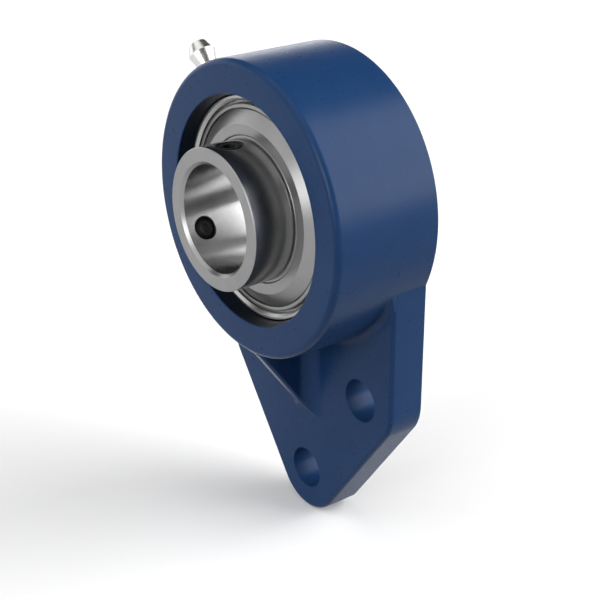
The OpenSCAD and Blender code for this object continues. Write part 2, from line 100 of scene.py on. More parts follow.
def angle(name, description, default):
    """An angle that a user may change, given in degrees and kept in radians."""
    return FloatProperty(name=name, description=description, default=math.radians(default),
                         unit="ROTATION", subtype="ANGLE")


def colour(name, description, default):
    """A colour that a user may change."""
    return FloatVectorProperty(name=name, description=description, default=default, size=3,
                               min=0, max=1, subtype="COLOR")


def amount(name, description, default):
    """A plain number that a user may change."""
    return FloatProperty(name=name, description=description, default=default)


class HousingSizes(PropertyGroup):
    """Sizes of the casting."""

    barrel_round: length("Barrel edge", "Radius of the rounded front edge of the barrel", 1.7)
    mouth_step: length("Mouth step", "How much narrower than the outer ring the mouth is", 0.4)
    rear_step: length("Rear step", "How much wider than the outer ring the rear recess is", 0.6)
    edge_break: length("Edge break", "Radius of the small machined edges", 0.35)
    seat_gap: length("Seat gap", "Running gap of the outer ring in its seat", 0.03)
    seat_inset: length("Seat inset", "From the face of the outer ring to the edge of the seat", 0.45)
    slot_gap: length("Slot gap", "Clearance of the outer ring in the loading slots", 0.4)
    groove_depth: length("Groove depth", "Depth of the grease groove", 1.0)
    groove_inner: length("Groove inner edge", "Edge of the groove nearest the centre", 0.95)
    groove_outer: length("Groove outer edge", "Edge of the groove furthest from the centre", 5.6)
    flange_t: length("Flange thickness", "Thickness of the flange", 10.85)
    flange_round: length("Flange edge", "Radius of the rounded front edge of the flange", 1.3)
    hole_break: length("Hole edge", "Radius of the edges of the bolt holes", 0.22)
    rib_t: length("Rib thickness", "Thickness of the rib", 4.1)
    rib_drop: length("Rib drop", "How far below the shaft the rib runs out", 65.4)
    rib_round: length("Rib edge", "Radius of the rib's own edges", 1.0)
    rib_blend: length("Rib blend", "Radius of the blend beside the rib", 4.6)
    barrel_blend: length("Barrel blend", "Radius of the blend under the barrel", 2.0)


class BearingSizes(PropertyGroup):
    """Sizes of the insert bearing."""

    bore_bevel: length("Bore bevel", "Bevel at both ends of the bore", 0.8)
    ring_edge: length("Ring edge", "Radius of the outer edges of the inner ring", 0.3)
    land_step: length("Land step", "How much lower than its land the rest of the ring is", 0.67)
    land_half: length("Land half width", "From the bearing centre to the ends of the lands", 9.7)
    shoulder_h: length("Shoulder", "Height of the shoulders beside the ball tracks", 1.2)
    track_r: length("Track radius", "Radius of the ball tracks", 4.953)
    track_gap: length("Track gap", "Gap between a ball and each track", 0.02)
    recess_step: length("Recess step", "How far the shield recess reaches outwards", 1.65)
    recess_floor: length("Recess floor", "From the bearing centre to the floor of that recess", 6.4)
    recess_bevel: length("Recess bevel", "Bevel at the mouth of that recess", 0.7)
    grease_hole: length("Grease hole", "Diameter of the grease holes of the outer ring", 1.6)
    grease_hole_y: length("Grease hole place", "From the bearing centre to those holes", 4.6)
    cage_t: length("Cage sheet", "Thickness of the sheet of the cage", 0.8)
    cage_band: length("Cage band", "Width of the cage band", 4.8)
    pocket_gap: length("Pocket gap", "Gap between a ball and its pocket", 0.2)
    rivet_r: length("Rivet radius", "Radius of the rivets of the cage", 0.8)
    rivet_head_r: length("Rivet head radius", "Radius of the heads of those rivets", 1.3)
    rivet_head_h: length("Rivet head height", "Height of those heads", 0.55)


class ShieldSizes(PropertyGroup):
    """Sizes of the sheet washers, rubber lips and flingers."""

    washer_t: length("Washer sheet", "Thickness of the washer in each shield", 0.6)
    rim_inset: length("Rim inset", "From the recess in to the rim of the washer", 0.7)
    rim_turn: length("Rim turn", "Width of the turned-in edge of the rim", 1.15)
    rim_sink: length("Rim sink", "How deep the rim lies below the face of the ring", 0.4)
    lip_h: length("Lip height", "From the inner ring to the edge of the washer", 2.25)
    lip_t: length("Lip thickness", "Thickness of the rubber at the washer's edge", 1.1)
    lip_gap: length("Lip gap", "Gap between the lip and the inner ring", 0.15)
    flinger_t: length("Flinger sheet", "Thickness of the flinger", 0.8)
    flinger_rise: length("Flinger rise", "How far the flinger stands out of the outer ring", 1.1)
    cone_w: length("Cone width", "Width of the cone outside the flinger's flat", 3.65)
    flinger_gap: length("Flinger gap", "Gap between the flinger and the rim around it", 0.26)
    flinger_room: length("Flinger room", "Gap between the flinger's edge and the washer", 0.65)
    press_gap: length("Press gap", "Gap between the flinger's sleeve and its land", 0.02)


class ScrewSizes(PropertyGroup):
    """Sizes of the set screws."""

    screw_d: length("Thread diameter", "Thread diameter of the set screws", 6.0)
    pitch: length("Thread pitch", "Pitch of the threads", 1.0)
    inset: length("Inset", "From the end of the ring to the middle of the screws", 5.9)
    sink: length("Sink", "How far the screws' tops lie below the ring's surface", 0.35)
    clear: length("Clearance", "How far the screws' tips stay out of the bore", 0.13)
    socket_w: length("Socket", "Width across the flats of the socket", 3.0)
    socket_depth: length("Socket depth", "Depth of the socket", 2.0)
    thread_gap: length("Thread gap", "Clearance between a screw and its hole", 0.04)
    bevel: length("Hole bevel", "Bevel at the mouth of each tapped hole", 0.75)
    first: angle("First screw", "Angle of the first screw round the shaft", 91)
    spread: angle("Spread", "Angle between the two screws", 120)


class NippleSizes(PropertyGroup):
    """Sizes of the grease nipple."""

    turn: angle("Angle", "Angle of the nipple round the shaft", 135)
    forward: length("Forward", "From the bearing centre to the nipple", 2.15)
    spot: length("Spot face", "Depth of the spot face under the hexagon", 0.4)
    thread_d: length("Thread diameter", "Thread diameter of the nipple", 6.0)
    thread_l: length("Thread length", "Length of the thread in the housing", 5.4)
    pitch: length("Thread pitch", "Pitch of that thread", 1.0)
    hex_w: length("Hexagon", "Width across the flats of the hexagon", 7.0)
    hex_h: length("Hexagon height", "Height of the hexagon", 3.2)
    height: length("Height", "Height of the nipple above its seat", 10.6)
    head_d: length("Head", "Widest diameter of the head", 7.6)
    cone_h: length("Cone height", "Height of the widest part below the top", 3.1)
    top_d: length("Top", "Diameter of the flat top", 5.15)
    neck_d: length("Neck", "Diameter of the neck over the hexagon", 5.1)
    ball_d: length("Check ball", "Diameter of the check ball", 2.4)
    inlet_d: length("Inlet", "Diameter of the hole that the check ball closes", 1.8)
    inlet_l: length("Inlet depth", "Depth of that hole", 0.4)
    chamber_floor: length("Chamber", "From the seat to the floor of the spring's chamber", 1.4)
    wire: length("Spring wire", "Wire of the spring behind the check ball", 0.3)
    coils: IntProperty(name="Coils", description="Turns of that spring", default=6, min=2, max=12)


class FinishColours(PropertyGroup):
    """Colours of the finishes."""

    enamel: colour("Enamel", "Blue enamel of the housing", (0.009, 0.036, 0.110))
    enamel_pale: colour("Pale enamel", "Paler patches of the enamel", (0.011, 0.041, 0.120))
    iron: colour("Machined iron", "Bare machined faces of the housing", (0.25, 0.25, 0.25))
    ring: colour("Ring faces", "End faces of the inner ring", (0.275, 0.275, 0.275))
    collar: colour("Collar", "Outside of the inner ring", (0.38, 0.38, 0.385))
    bore: colour("Bore", "Honed bore", (0.46, 0.46, 0.46))
    outer: colour("Outer ring", "Ground outer ring", (0.40, 0.40, 0.40))
    # The near-black mouth colour is painted shade, standing in for the shadow inside the recess in
    # front of the bearing.
    mouth: colour("Mouth wall", "Dark wall in front of the bearing", (0.012, 0.018, 0.032))
    ball: colour("Ball steel", "Polished balls", (0.78, 0.78, 0.79))
    sheet: colour("Pressed sheet", "Flingers, washers and cage", (0.27, 0.27, 0.27))
    # The black oxide also paints shade onto the walls and bevels of the inner ring's tapped holes.
    black: colour("Black oxide", "Set screws", (0.010, 0.010, 0.011))
    rubber: colour("Rubber", "Lips of the shields", (0.02, 0.02, 0.021))
    zinc: colour("Zinc", "Grease nipple", (0.64, 0.635, 0.62))


class StageSettings(PropertyGroup):
    """The camera's place, the floor and the strength of the lights."""

    aim: FloatVectorProperty(name="Aim", description="Point that the camera looks at", subtype="XYZ",
                             unit="LENGTH", default=(16.56 * MM, -6.79 * MM, -20.42 * MM))
    distance: length("Distance", "From that point to the camera", 357.15)
    azimuth: angle("Azimuth", "Turn of the camera round the object", 52.645)
    elevation: angle("Elevation", "Height of the camera above the horizon", 24.526)
    roll: angle("Roll", "Roll of the camera about its own axis", 0.086)
    lens: FloatProperty(name="Lens", description="Focal length", default=83.41, unit="CAMERA")
    front_panel: amount("Front panel", "Brightness of the panel at the front right", 6.5)
    side_panel: amount("Side panel", "Brightness of the panel behind at the right", 5.0)
    top_panel: amount("Top panel", "Brightness of the panel overhead", 1.5)
    backdrop: amount("Backdrop", "Brightness of the pale backdrop at the front left", 0.7)
    rear_panel: amount("Rear panel", "Brightness of the panel behind at the left", 2.4)
    wall: amount("Wall", "Lightness of the low pale wall behind the floor", 1.0)
    room: amount("Room", "Brightness of the dim room between the panels", 0.05)
    floor_tone: amount("Floor", "Lightness of the floor", 0.92)
    floor_glow: amount("Floor glow", "What lifts the lit floor to white", 0.02)
    floor_bounce: amount("Floor bounce", "Lightness of the floor that lights the object", 0.09)


def settings(name):
    """One of the groups of settings, kept on the scene."""
    return getattr(bpy.context.scene, "bearing_" + name)


def land_radius():
    """Radius of the ground lands of the inner ring."""
    return PITCH_R - BALL_R + settings("bearing").shoulder_h


def collar_radius():
    """Radius of the inner ring outside its lands."""
    return land_radius() - settings("bearing").land_step


def outer_land_radius():
    """Radius of the shoulders beside the outer ring's track."""
    return PITCH_R + BALL_R - settings("bearing").shoulder_h


def recess_radius():
    """Radius of the recess that holds a shield."""
    return outer_land_radius() + settings("bearing").recess_step


def flange_front():
    """Where the flange's front face lies along the shaft."""
    return BACK_Y - settings("housing").flange_t


# Working with one object at a time

def object_mode():
    """Leaves edit mode if an object is open in it."""
    if bpy.context.object and bpy.context.object.mode != "OBJECT":
        bpy.ops.object.mode_set(mode="OBJECT")


def deselect():
    """Leaves nothing selected."""
    object_mode()
    bpy.ops.object.select_all(action="DESELECT")


def activate(piece):
    """Selects one object alone and makes it the active one."""
    deselect()
    piece.select_set(True)
    bpy.context.view_layer.objects.active = piece
    return piece


def edit(piece):
    """Opens an object in edit mode with all of it selected."""
    activate(piece)
    bpy.ops.object.mode_set(mode="EDIT")
    bpy.ops.mesh.select_mode(type="VERT")
    bpy.ops.mesh.select_all(action="SELECT")


def pick(piece, mode, test):
    """In edit mode, selects the vertices, edges or faces that pass a test."""
    bpy.ops.mesh.select_all(action="DESELECT")
    bpy.ops.mesh.select_mode(type={"verts": "VERT", "edges": "EDGE", "faces": "FACE"}[mode])
    mesh = bmesh.from_edit_mesh(piece.data)
    for element in getattr(mesh, mode):
        if test(element):
            element.select_set(True)
    mesh.select_flush_mode()
    bmesh.update_edit_mesh(piece.data)


def remove(piece):
    """Deletes an object."""
    activate(piece)
    bpy.ops.object.delete()


def modify(piece, kind, **values):
    """Adds a modifier, sets it and applies it."""
    activate(piece)
    bpy.ops.object.modifier_add(type=kind)
    modifier = piece.modifiers[-1]
    for name, value in values.items():
        setattr(modifier, name, value)
    bpy.ops.object.modifier_apply(modifier=modifier.name)


def combine(piece, tool, operation="DIFFERENCE"):
    """Cuts, joins or intersects a piece with a tool, which is then deleted."""
    modify(piece, "BOOLEAN", operation=operation, solver="EXACT", object=tool)
    remove(tool)
    return piece


def cut_away(point, normal):
    """In edit mode, takes away what lies past a plane and closes the cut."""
    bpy.ops.mesh.select_all(action="SELECT")
    bpy.ops.mesh.bisect(plane_co=point, plane_no=normal, use_fill=True, clear_outer=True,
                        clear_inner=False, threshold=WELD / 20)


def close_mesh(piece):
    """Merges doubles and turns all faces outwards."""
    edit(piece)
    bpy.ops.mesh.remove_doubles(threshold=WELD)
    bpy.ops.mesh.normals_make_consistent(inside=False)
    object_mode()


def smooth(piece, limit=28):
    """Shades a piece smooth up to an angle and lets its flat faces rule its normals."""
    activate(piece)
    bpy.ops.object.shade_smooth_by_angle(angle=math.radians(limit))
    modify(piece, "WEIGHTED_NORMAL", mode="FACE_AREA_WITH_ANGLE", weight=50, keep_sharp=True)


# Outlines

def arc(centre, radius, start, end, steps):
    """Points of an arc, with its angles in degrees."""
    angles = [math.radians(start + (end - start) * i / steps) for i in range(steps + 1)]
    return [(centre[0] + radius * math.cos(a), centre[1] + radius * math.sin(a), 0) for a in angles]


def rounded(corners, steps=5):
    """The points of a closed outline, whose corners (a, b, radius) are drawn as arcs."""
    points = []
    for i, (a, b, radius) in enumerate(corners):
        here = Vector((a, b))
        if radius <= 0:
            points.append(here)
            continue
        back = (Vector(corners[i - 1][:2]) - here).normalized()
        ahead = (Vector(corners[(i + 1) % len(corners)][:2]) - here).normalized()
        half = back.angle(ahead) / 2
        centre = here + (back + ahead).normalized() * (radius / math.sin(half))
        reach = radius / math.tan(half)
        first = (here + back * reach - centre).normalized()
        last = (here + ahead * reach - centre).normalized()
        for k in range(steps + 1):
            points.append(centre + first.slerp(last, k / steps) * radius)
    return points


def outline(name, points, closed=True):
    """A chain of edges drawn from point to point, left open in edit mode."""
    deselect()
    bpy.ops.mesh.primitive_plane_add(size=MM, location=points[0])
    piece = bpy.context.object
    piece.name = piece.data.name = name
    bpy.ops.object.transform_apply(location=True, rotation=False, scale=False)
    edit(piece)
    bpy.ops.mesh.merge(type="CENTER")
    for before, after in zip(points, points[1:]):
        step = Vector(after) - Vector(before)
        bpy.ops.mesh.extrude_vertices_move(TRANSFORM_OT_translate={"value": step})
    if closed:
        pick(piece, "verts", lambda v: len(v.link_edges) == 1)
        bpy.ops.mesh.edge_face_add()
    bpy.ops.mesh.select_all(action="SELECT")
    return piece


def flat(points):
    """Outline points of radius and place along the shaft, laid in the XY plane."""
    return [(p[0], p[1], 0) for p in points]


def turned(name, points, steps):
    """An outline of radius and place along the shaft, spun about the shaft."""
    piece = outline(name, flat(points), closed=points[0][0] > WELD)
    bpy.ops.mesh.spin(steps=steps, angle=FULL_TURN, center=CENTRE, axis=SHAFT)
    close_mesh(piece)
    return piece


def place(piece, turn_angle=0.0, axis="Z", move=None):
    """Turns a piece's mesh about the origin, then moves it."""
    edit(piece)
    if turn_angle:
        bpy.ops.transform.rotate(value=turn_angle, orient_axis=axis, center_override=CENTRE)
    if move is not None:
        bpy.ops.transform.translate(value=move)
    object_mode()


def copy_of(piece, name):
    """A copy with its own mesh and its own name."""
    activate(piece)
    bpy.ops.object.duplicate(linked=False)
    copy = bpy.context.object
    copy.name = copy.data.name = name
    return copy


def turned_round(piece, name):
    """A copy of a piece, facing the other way along the shaft."""
    copy = copy_of(piece, name)
    place(copy, math.pi, "Z")
    return copy


def matrix_round_shaft(turn_angle, y):
    """Carries what stands along Z to an angle round the shaft, counted from +X to +Z."""
    return Matrix.Translation((0, y, 0)) @ Matrix.Rotation(math.pi / 2 - turn_angle, 4, "Y")


def stand_round_shaft(piece, turn_angle, y):
    """Moves a piece modelled along Z to its angle round the shaft, with its place in its mesh."""
    activate(piece)
    piece.matrix_world = matrix_round_shaft(turn_angle, y)
    bpy.ops.object.transform_apply(location=True, rotation=True, scale=False)


def upright_turned(name, points, steps):
    """An outline of radius and height, spun about Z."""
    piece = outline(name, [(p[0], 0, p[1]) for p in points], closed=points[0][0] > WELD)
    bpy.ops.mesh.spin(steps=steps, angle=FULL_TURN, center=CENTRE, axis=(0, 0, 1))
    close_mesh(piece)
    return piece


def prism(name, sides, across_flats, low, high):
    """A bar of several sides along Z."""
    deselect()
    radius = across_flats / 2 / math.cos(math.pi / sides)
    bpy.ops.mesh.primitive_cylinder_add(vertices=sides, radius=radius, depth=high - low,
                                        location=(0, 0, (low + high) / 2))
    piece = bpy.context.object
    piece.name = piece.data.name = name
    bpy.ops.object.transform_apply(location=True, rotation=True, scale=True)
    return piece


def finish_piece(piece, finishes, body, slot, *nodes):
    """Gives a piece its materials and its place in the frame."""
    for finish in finishes if isinstance(finishes, (list, tuple)) else [finishes]:
        piece.data.materials.append(finish)
    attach(piece, body)
    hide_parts(*nodes)
    return piece


# Wiring of finishes

def new_finish(name):
    """A material with its shader, ready to be wired."""
    material = bpy.data.materials.new(name)
    material.use_nodes = True
    tree = material.node_tree
    tree.nodes.clear()
    out = tree.nodes.new("ShaderNodeOutputMaterial")
    shader = tree.nodes.new("ShaderNodeBsdfPrincipled")
    tree.links.new(shader.outputs["BSDF"], out.inputs["Surface"])
    return material, tree, shader


def add(tree, kind, inputs=None, **values):
    """Adds a node, with its settings and with values or links for its inputs."""
    node = tree.nodes.new("ShaderNode" + kind)
    for name, value in values.items():
        setattr(node, name, value)
    for name, value in (inputs or {}).items():
        if isinstance(value, bpy.types.NodeSocket):
            tree.links.new(value, node.inputs[name])
        else:
            node.inputs[name].default_value = value
    return node


def wire(tree, shader, **values):
    """Sets or links the shader's inputs, named with underscores for spaces."""
    for name, value in values.items():
        socket = shader.inputs[name.replace("_", " ")]
        if isinstance(value, bpy.types.NodeSocket):
            tree.links.new(value, socket)
        elif hasattr(value, "__len__"):
            socket.default_value = (*value[:3], 1.0)
        else:
            socket.default_value = value


def object_place(tree):
    """A place on the object, in metres."""
    return add(tree, "TexCoord").outputs["Object"]


def noise(tree, place_socket, size, detail=3.0, roughness=0.55):
    """Noise whose largest features are about as wide as size."""
    return add(tree, "TexNoise", {"Vector": place_socket, "Scale": 1 / size, "Detail": detail,
                                  "Roughness": roughness}).outputs["Fac"]


def spread(tree, value, low, high, start=0.3, end=0.7):
    """Carries a value from the range start to end over to the range low to high."""
    return add(tree, "MapRange", {"Value": value, "From Min": start, "From Max": end,
                                  "To Min": low, "To Max": high}).outputs["Result"]


def blend_colours(tree, share, first, second):
    """Mixes two colours by a share that runs from 0 to 1."""
    node = add(tree, "Mix", data_type="RGBA")
    for index, value in ((0, share), (6, first), (7, second)):
        if isinstance(value, bpy.types.NodeSocket):
            tree.links.new(value, node.inputs[index])
        elif index:
            node.inputs[index].default_value = (*value[:3], 1.0)
        else:
            node.inputs[index].default_value = value
    return node.outputs[2]


def relief(tree, height, depth, under=None):
    """Bump of a real depth, on top of another one."""
    node = add(tree, "Bump", {"Height": height, "Distance": depth, "Strength": 1.0})
    if under is not None:
        tree.links.new(under, node.inputs["Normal"])
    return node.outputs["Normal"]


def rings_place(tree, ring_size):
    """Coordinates that change fast outwards and along the shaft and slowly round it, as tool marks."""
    split = add(tree, "SeparateXYZ", {"Vector": object_place(tree)}).outputs
    across = add(tree, "CombineXYZ", {"X": split["X"], "Z": split["Z"]}).outputs["Vector"]
    radius = add(tree, "VectorMath", {0: across}, operation="LENGTH").outputs["Value"]
    direction = add(tree, "VectorMath", {0: across}, operation="NORMALIZE").outputs["Vector"]
    marks = add(tree, "CombineXYZ", {"X": radius, "Y": split["Y"]}).outputs["Vector"]
    marks = add(tree, "VectorMath", {0: marks, "Scale": 1 / ring_size}, operation="SCALE")
    marks = marks.outputs["Vector"]
    return add(tree, "VectorMath", {0: marks, 1: direction}, operation="ADD").outputs["Vector"]


def enamel_finish():
    """Blue enamel over a sand casting: orange peel, cast grain and a soft gloss."""
    colours = settings("colours")
    material, tree, shader = new_finish("blue_enamel")
    place_socket = object_place(tree)
    patches = spread(tree, noise(tree, place_socket, 9 * MM), 0, 1)
    grain = noise(tree, place_socket, 0.5 * MM, detail=4, roughness=0.6)
    peel = noise(tree, place_socket, 1.3 * MM, detail=2)
    waves = noise(tree, place_socket, 11 * MM, detail=2)
    tone = blend_colours(tree, patches, colours.enamel, colours.enamel_pale)
    dark = [0.8 * c for c in colours.enamel]
    tone = blend_colours(tree, spread(tree, grain, 0.12, 0, 0.3, 0.5), tone, dark)
    normal = relief(tree, waves, 0.08 * MM)
    normal = relief(tree, peel, 0.013 * MM, normal)
    normal = relief(tree, grain, 0.005 * MM, normal)
    wire(tree, shader, Base_Color=tone, Roughness=spread(tree, peel, 0.27, 0.35), Normal=normal,
         Specular_IOR_Level=0.12)
    return material


def turned_finish(name, base, roughness, marks_size, depth, streaks, anisotropic):
    """Turned or ground metal: fine rings about the shaft, faint stains and an uneven gloss."""
    material, tree, shader = new_finish(name)
    marks = noise(tree, rings_place(tree, marks_size), 1.0, detail=3, roughness=0.6)
    stains = noise(tree, object_place(tree), 4 * MM, detail=3)
    dark = [0.7 * c for c in base]
    tone = blend_colours(tree, spread(tree, marks, 0, streaks), base, dark)
    tone = blend_colours(tree, spread(tree, stains, 0, 0.2), tone, dark)
    wire(tree, shader, Base_Color=tone, Metallic=1.0,
         Roughness=spread(tree, marks, *roughness, 0.25, 0.75),
         Normal=relief(tree, marks, depth), Anisotropic=anisotropic, Anisotropic_Rotation=0.25,
         Tangent=add(tree, "Tangent", direction_type="RADIAL", axis="Y").outputs["Tangent"])
    return material


def polished_finish(name, base, roughness):
    """Lapped or plated metal with a faint haze."""
    material, tree, shader = new_finish(name)
    place_socket = object_place(tree)
    haze = noise(tree, place_socket, 1.2 * MM, detail=4)
    pits = noise(tree, place_socket, 0.12 * MM, detail=2)
    tone = blend_colours(tree, spread(tree, haze, 0, 0.25), base, [0.8 * c for c in base])
    wire(tree, shader, Base_Color=tone, Metallic=1.0, Roughness=spread(tree, haze, *roughness),
         Normal=relief(tree, pits, 0.0008 * MM))
    return material


def black_oxide_finish():
    """Blackened screw steel with a thin oil film, also used as painted shade in the inner ring's tapped
    holes.
    """
    colours = settings("colours")
    material, tree, shader = new_finish("black_oxide")
    place_socket = object_place(tree)
    mottle = noise(tree, place_socket, 0.8 * MM, detail=4)
    grain = noise(tree, place_socket, 0.1 * MM, detail=2)
    light = [1.6 * c for c in colours.black]
    tone = blend_colours(tree, spread(tree, mottle, 0, 1), colours.black, light)
    wire(tree, shader, Base_Color=tone, Metallic=0.0, Roughness=spread(tree, mottle, 0.4, 0.55),
         Normal=relief(tree, grain, 0.002 * MM), Specular_IOR_Level=0.1)
    return material


def rubber_finish():
    """Moulded nitrile rubber."""
    colours = settings("colours")
    material, tree, shader = new_finish("seal_rubber")
    place_socket = object_place(tree)
    bloom = noise(tree, place_socket, 1.5 * MM, detail=3)
    grain = noise(tree, place_socket, 0.15 * MM, detail=3)
    light = [1.7 * c for c in colours.rubber]
    tone = blend_colours(tree, spread(tree, bloom, 0, 1), colours.rubber, light)
    wire(tree, shader, Base_Color=tone, Roughness=spread(tree, bloom, 0.55, 0.7),
         Normal=relief(tree, grain, 0.004 * MM), Specular_IOR_Level=0.4)
    return material


# Material, roughness, size and depth of the marks in mm, streaks and how far highlights are drawn out
TURNED_FINISHES = {
    "iron": ("machined_iron", (0.36, 0.5), 0.14, 0.003, 0.25, 0.3),
    "ring": ("ground_ring", (0.26, 0.36), 0.06, 0.0006, 0.25, 0.5),
    "collar": ("ground_collar", (0.2, 0.26), 0.04, 0.0002, 0.15, 0.1),
    "bore": ("honed_bore", (0.20, 0.26), 0.05, 0.0003, 0.12, 0.85),
    # The mouth wall finish is painted shade: near-black so that the recess reads as shadowed.
    "mouth": ("dark_mouth_wall", (0.3, 0.4), 0.2, 0.002, 0.25, 0.2),
    "outer": ("ground_outer_ring", (0.24, 0.3), 0.05, 0.0003, 0.15, 0.4),
    "sheet": ("pressed_sheet", (0.3, 0.36), 0.07, 0.0003, 0.15, 0.5),
}
POLISHED_FINISHES = {"ball": ("lapped_ball", (0.05, 0.12)), "zinc": ("zinc_plate", (0.24, 0.34))}
PLAIN_FINISHES = {"enamel": enamel_finish, "black": black_oxide_finish, "rubber": rubber_finish}
FINISHES = {}


def finish(name):
    """One of the finishes, wired when it is first asked for."""
    if name not in FINISHES:
        base = getattr(settings("colours"), name)
        if name in TURNED_FINISHES:
            material, roughness, marks_size, depth, streaks, anisotropic = TURNED_FINISHES[name]
            FINISHES[name] = turned_finish(material, base, roughness, marks_size * MM, depth * MM,
                                           streaks, anisotropic)
        elif name in POLISHED_FINISHES:
            material, roughness = POLISHED_FINISHES[name]
            FINISHES[name] = polished_finish(material, base, roughness)
        else:
            FINISHES[name] = PLAIN_FINISHES[name]()
    return FINISHES[name]


# The housing

def barrel():
    """The barrel as a solid drum with a rounded front edge."""
    sizes = settings("housing")
    corners = [(0, FRONT_Y, 0), (BARREL_R, FRONT_Y, sizes.barrel_round),
               (BARREL_R, BACK_Y, sizes.edge_break), (0, BACK_Y, 0)]
    return turned("housing_cast", rounded(corners, steps=8), 256)


def flange_plate():
    """The hull of five eyes, with its front edge rounded."""
    sizes = settings("housing")
    reach = BARREL_R - EYE_R - 0.3 * MM
    shoulder = math.sqrt(max(0.0, reach ** 2 - UPPER_X ** 2))
    places = [(x, z) for x in (-UPPER_X, UPPER_X) for z in (-shoulder, UPPER_Z)] + [(0, LOWER_Z)]
    deselect()
    for x, z in places:
        bpy.ops.mesh.primitive_cylinder_add(vertices=96, radius=EYE_R, depth=sizes.flange_t,
                                            rotation=(math.pi / 2, 0, 0),
                                            location=(x, BACK_Y - sizes.flange_t / 2, z))
        if bpy.context.object.mode == "OBJECT":
            piece = bpy.context.object
            piece.name = "flange_plate"
            bpy.ops.object.transform_apply(location=True, rotation=True, scale=True)
            bpy.ops.object.mode_set(mode="EDIT")
    bpy.ops.mesh.select_all(action="SELECT")
    bpy.ops.mesh.convex_hull()
    bpy.ops.mesh.select_all(action="SELECT")
    bpy.ops.mesh.dissolve_limited(angle_limit=math.radians(1))
    for y, radius, segments in ((flange_front(), sizes.flange_round, 7), (BACK_Y, sizes.edge_break, 3)):
        pick(piece, "edges", lambda e, y=y: all(abs(v.co.y - y) < WELD for v in e.verts))
        bpy.ops.mesh.bevel(offset=radius, segments=segments, profile=0.5, affect="EDGES")
    object_mode()
    return piece


def rib():
    """The gusset under the barrel, cut to its slope, with a wide concave foot at each side."""
    sizes = settings("housing")
    plane = flange_front()
    half, blend = sizes.rib_t / 2, sizes.rib_blend
    top, tip, run_out = 0.6 * MM - BARREL_R, FRONT_Y + sizes.barrel_round, -sizes.rib_drop
    right_foot = arc((half + blend, plane - blend), blend, 90, 180, 12)
    left_foot = arc((-half - blend, plane - blend), blend, 0, 90, 12)
    nose = [(half, tip - OVER), (-half, tip - OVER)]
    base = [(-half - blend, plane + OVER), (half + blend, plane + OVER)]
    section = [Vector((p[0], p[1], top)) for p in [*right_foot, *nose, *left_foot, *base]]
    piece = outline("rib", section)
    bpy.ops.mesh.edge_face_add()
    fall = run_out - 2 * OVER - top
    bpy.ops.mesh.extrude_region_move(TRANSFORM_OT_translate={"value": (0, 0, fall)})
    close_mesh(piece)
    slope = Vector((0, run_out - top, tip - plane)).normalized()
    corner = Vector((0, tip, top))
    edit(piece)
    cut_away(corner, slope)
    pick(piece, "edges", lambda e: all(abs((v.co - corner).dot(slope)) < WELD and v.co.y < plane + WELD
                                       for v in e.verts))
    bpy.ops.mesh.bevel(offset=sizes.rib_round, segments=5, profile=0.5, affect="EDGES",
                       clamp_overlap=False)
    object_mode()
    close_mesh(piece)
    return piece


def barrel_foot():
    """The concave ring where the barrel meets the flange, cut off at the flange's sides."""
    sizes = settings("housing")
    plane = flange_front()
    blend, sunk = sizes.barrel_blend, 0.8 * MM
    curve = arc((BARREL_R + blend, plane - blend), blend, 180, 90, 10)
    points = [(BARREL_R - sunk, plane - blend, 0), *curve, (BARREL_R + blend, plane + sunk, 0),
              (BARREL_R - sunk, plane + sunk, 0)]
    piece = outline("barrel_foot", flat(points))
    bpy.ops.mesh.edge_face_add()
    bpy.ops.mesh.select_all(action="SELECT")
    bpy.ops.mesh.spin(steps=128, angle=math.pi, center=CENTRE, axis=SHAFT)
    close_mesh(piece)
    if sum(v.co.z for v in piece.data.vertices) >= 0:
        place(piece, math.pi, "Y")
    side = UPPER_X + EYE_R
    edit(piece)
    for x in (-side, side):
        cut_away((x, 0, 0), (x / side, 0, 0))
    object_mode()
    close_mesh(piece)
    return piece


def rib_top_blend():
    """The concave strip between the rib's sides and the underside of the barrel."""
    sizes = settings("housing")
    plane = flange_front()
    half, blend = sizes.rib_t / 2, sizes.barrel_blend
    level = -math.sqrt(BARREL_R ** 2 - (half + blend) ** 2)
    right = arc((half + blend, level - blend), blend, 90, 180, 8)
    left = arc((-half - blend, level - blend), blend, 0, 90, 8)
    base = [(-half - blend, level + OVER), (half + blend, level + OVER)]
    start = FRONT_Y + sizes.barrel_round
    section = [Vector((p[0], start, p[1])) for p in [*right, *left, *base]]
    piece = outline("rib_top_blend", section)
    bpy.ops.mesh.edge_face_add()
    run = plane - start + OVER
    bpy.ops.mesh.extrude_region_move(TRANSFORM_OT_translate={"value": (0, run, 0)})
    close_mesh(piece)
    slope = Vector((0, sizes.rib_drop - BARREL_R, plane - start)).normalized()
    edit(piece)
    cut_away((0, start, -BARREL_R), -slope)
    object_mode()
    close_mesh(piece)
    return piece


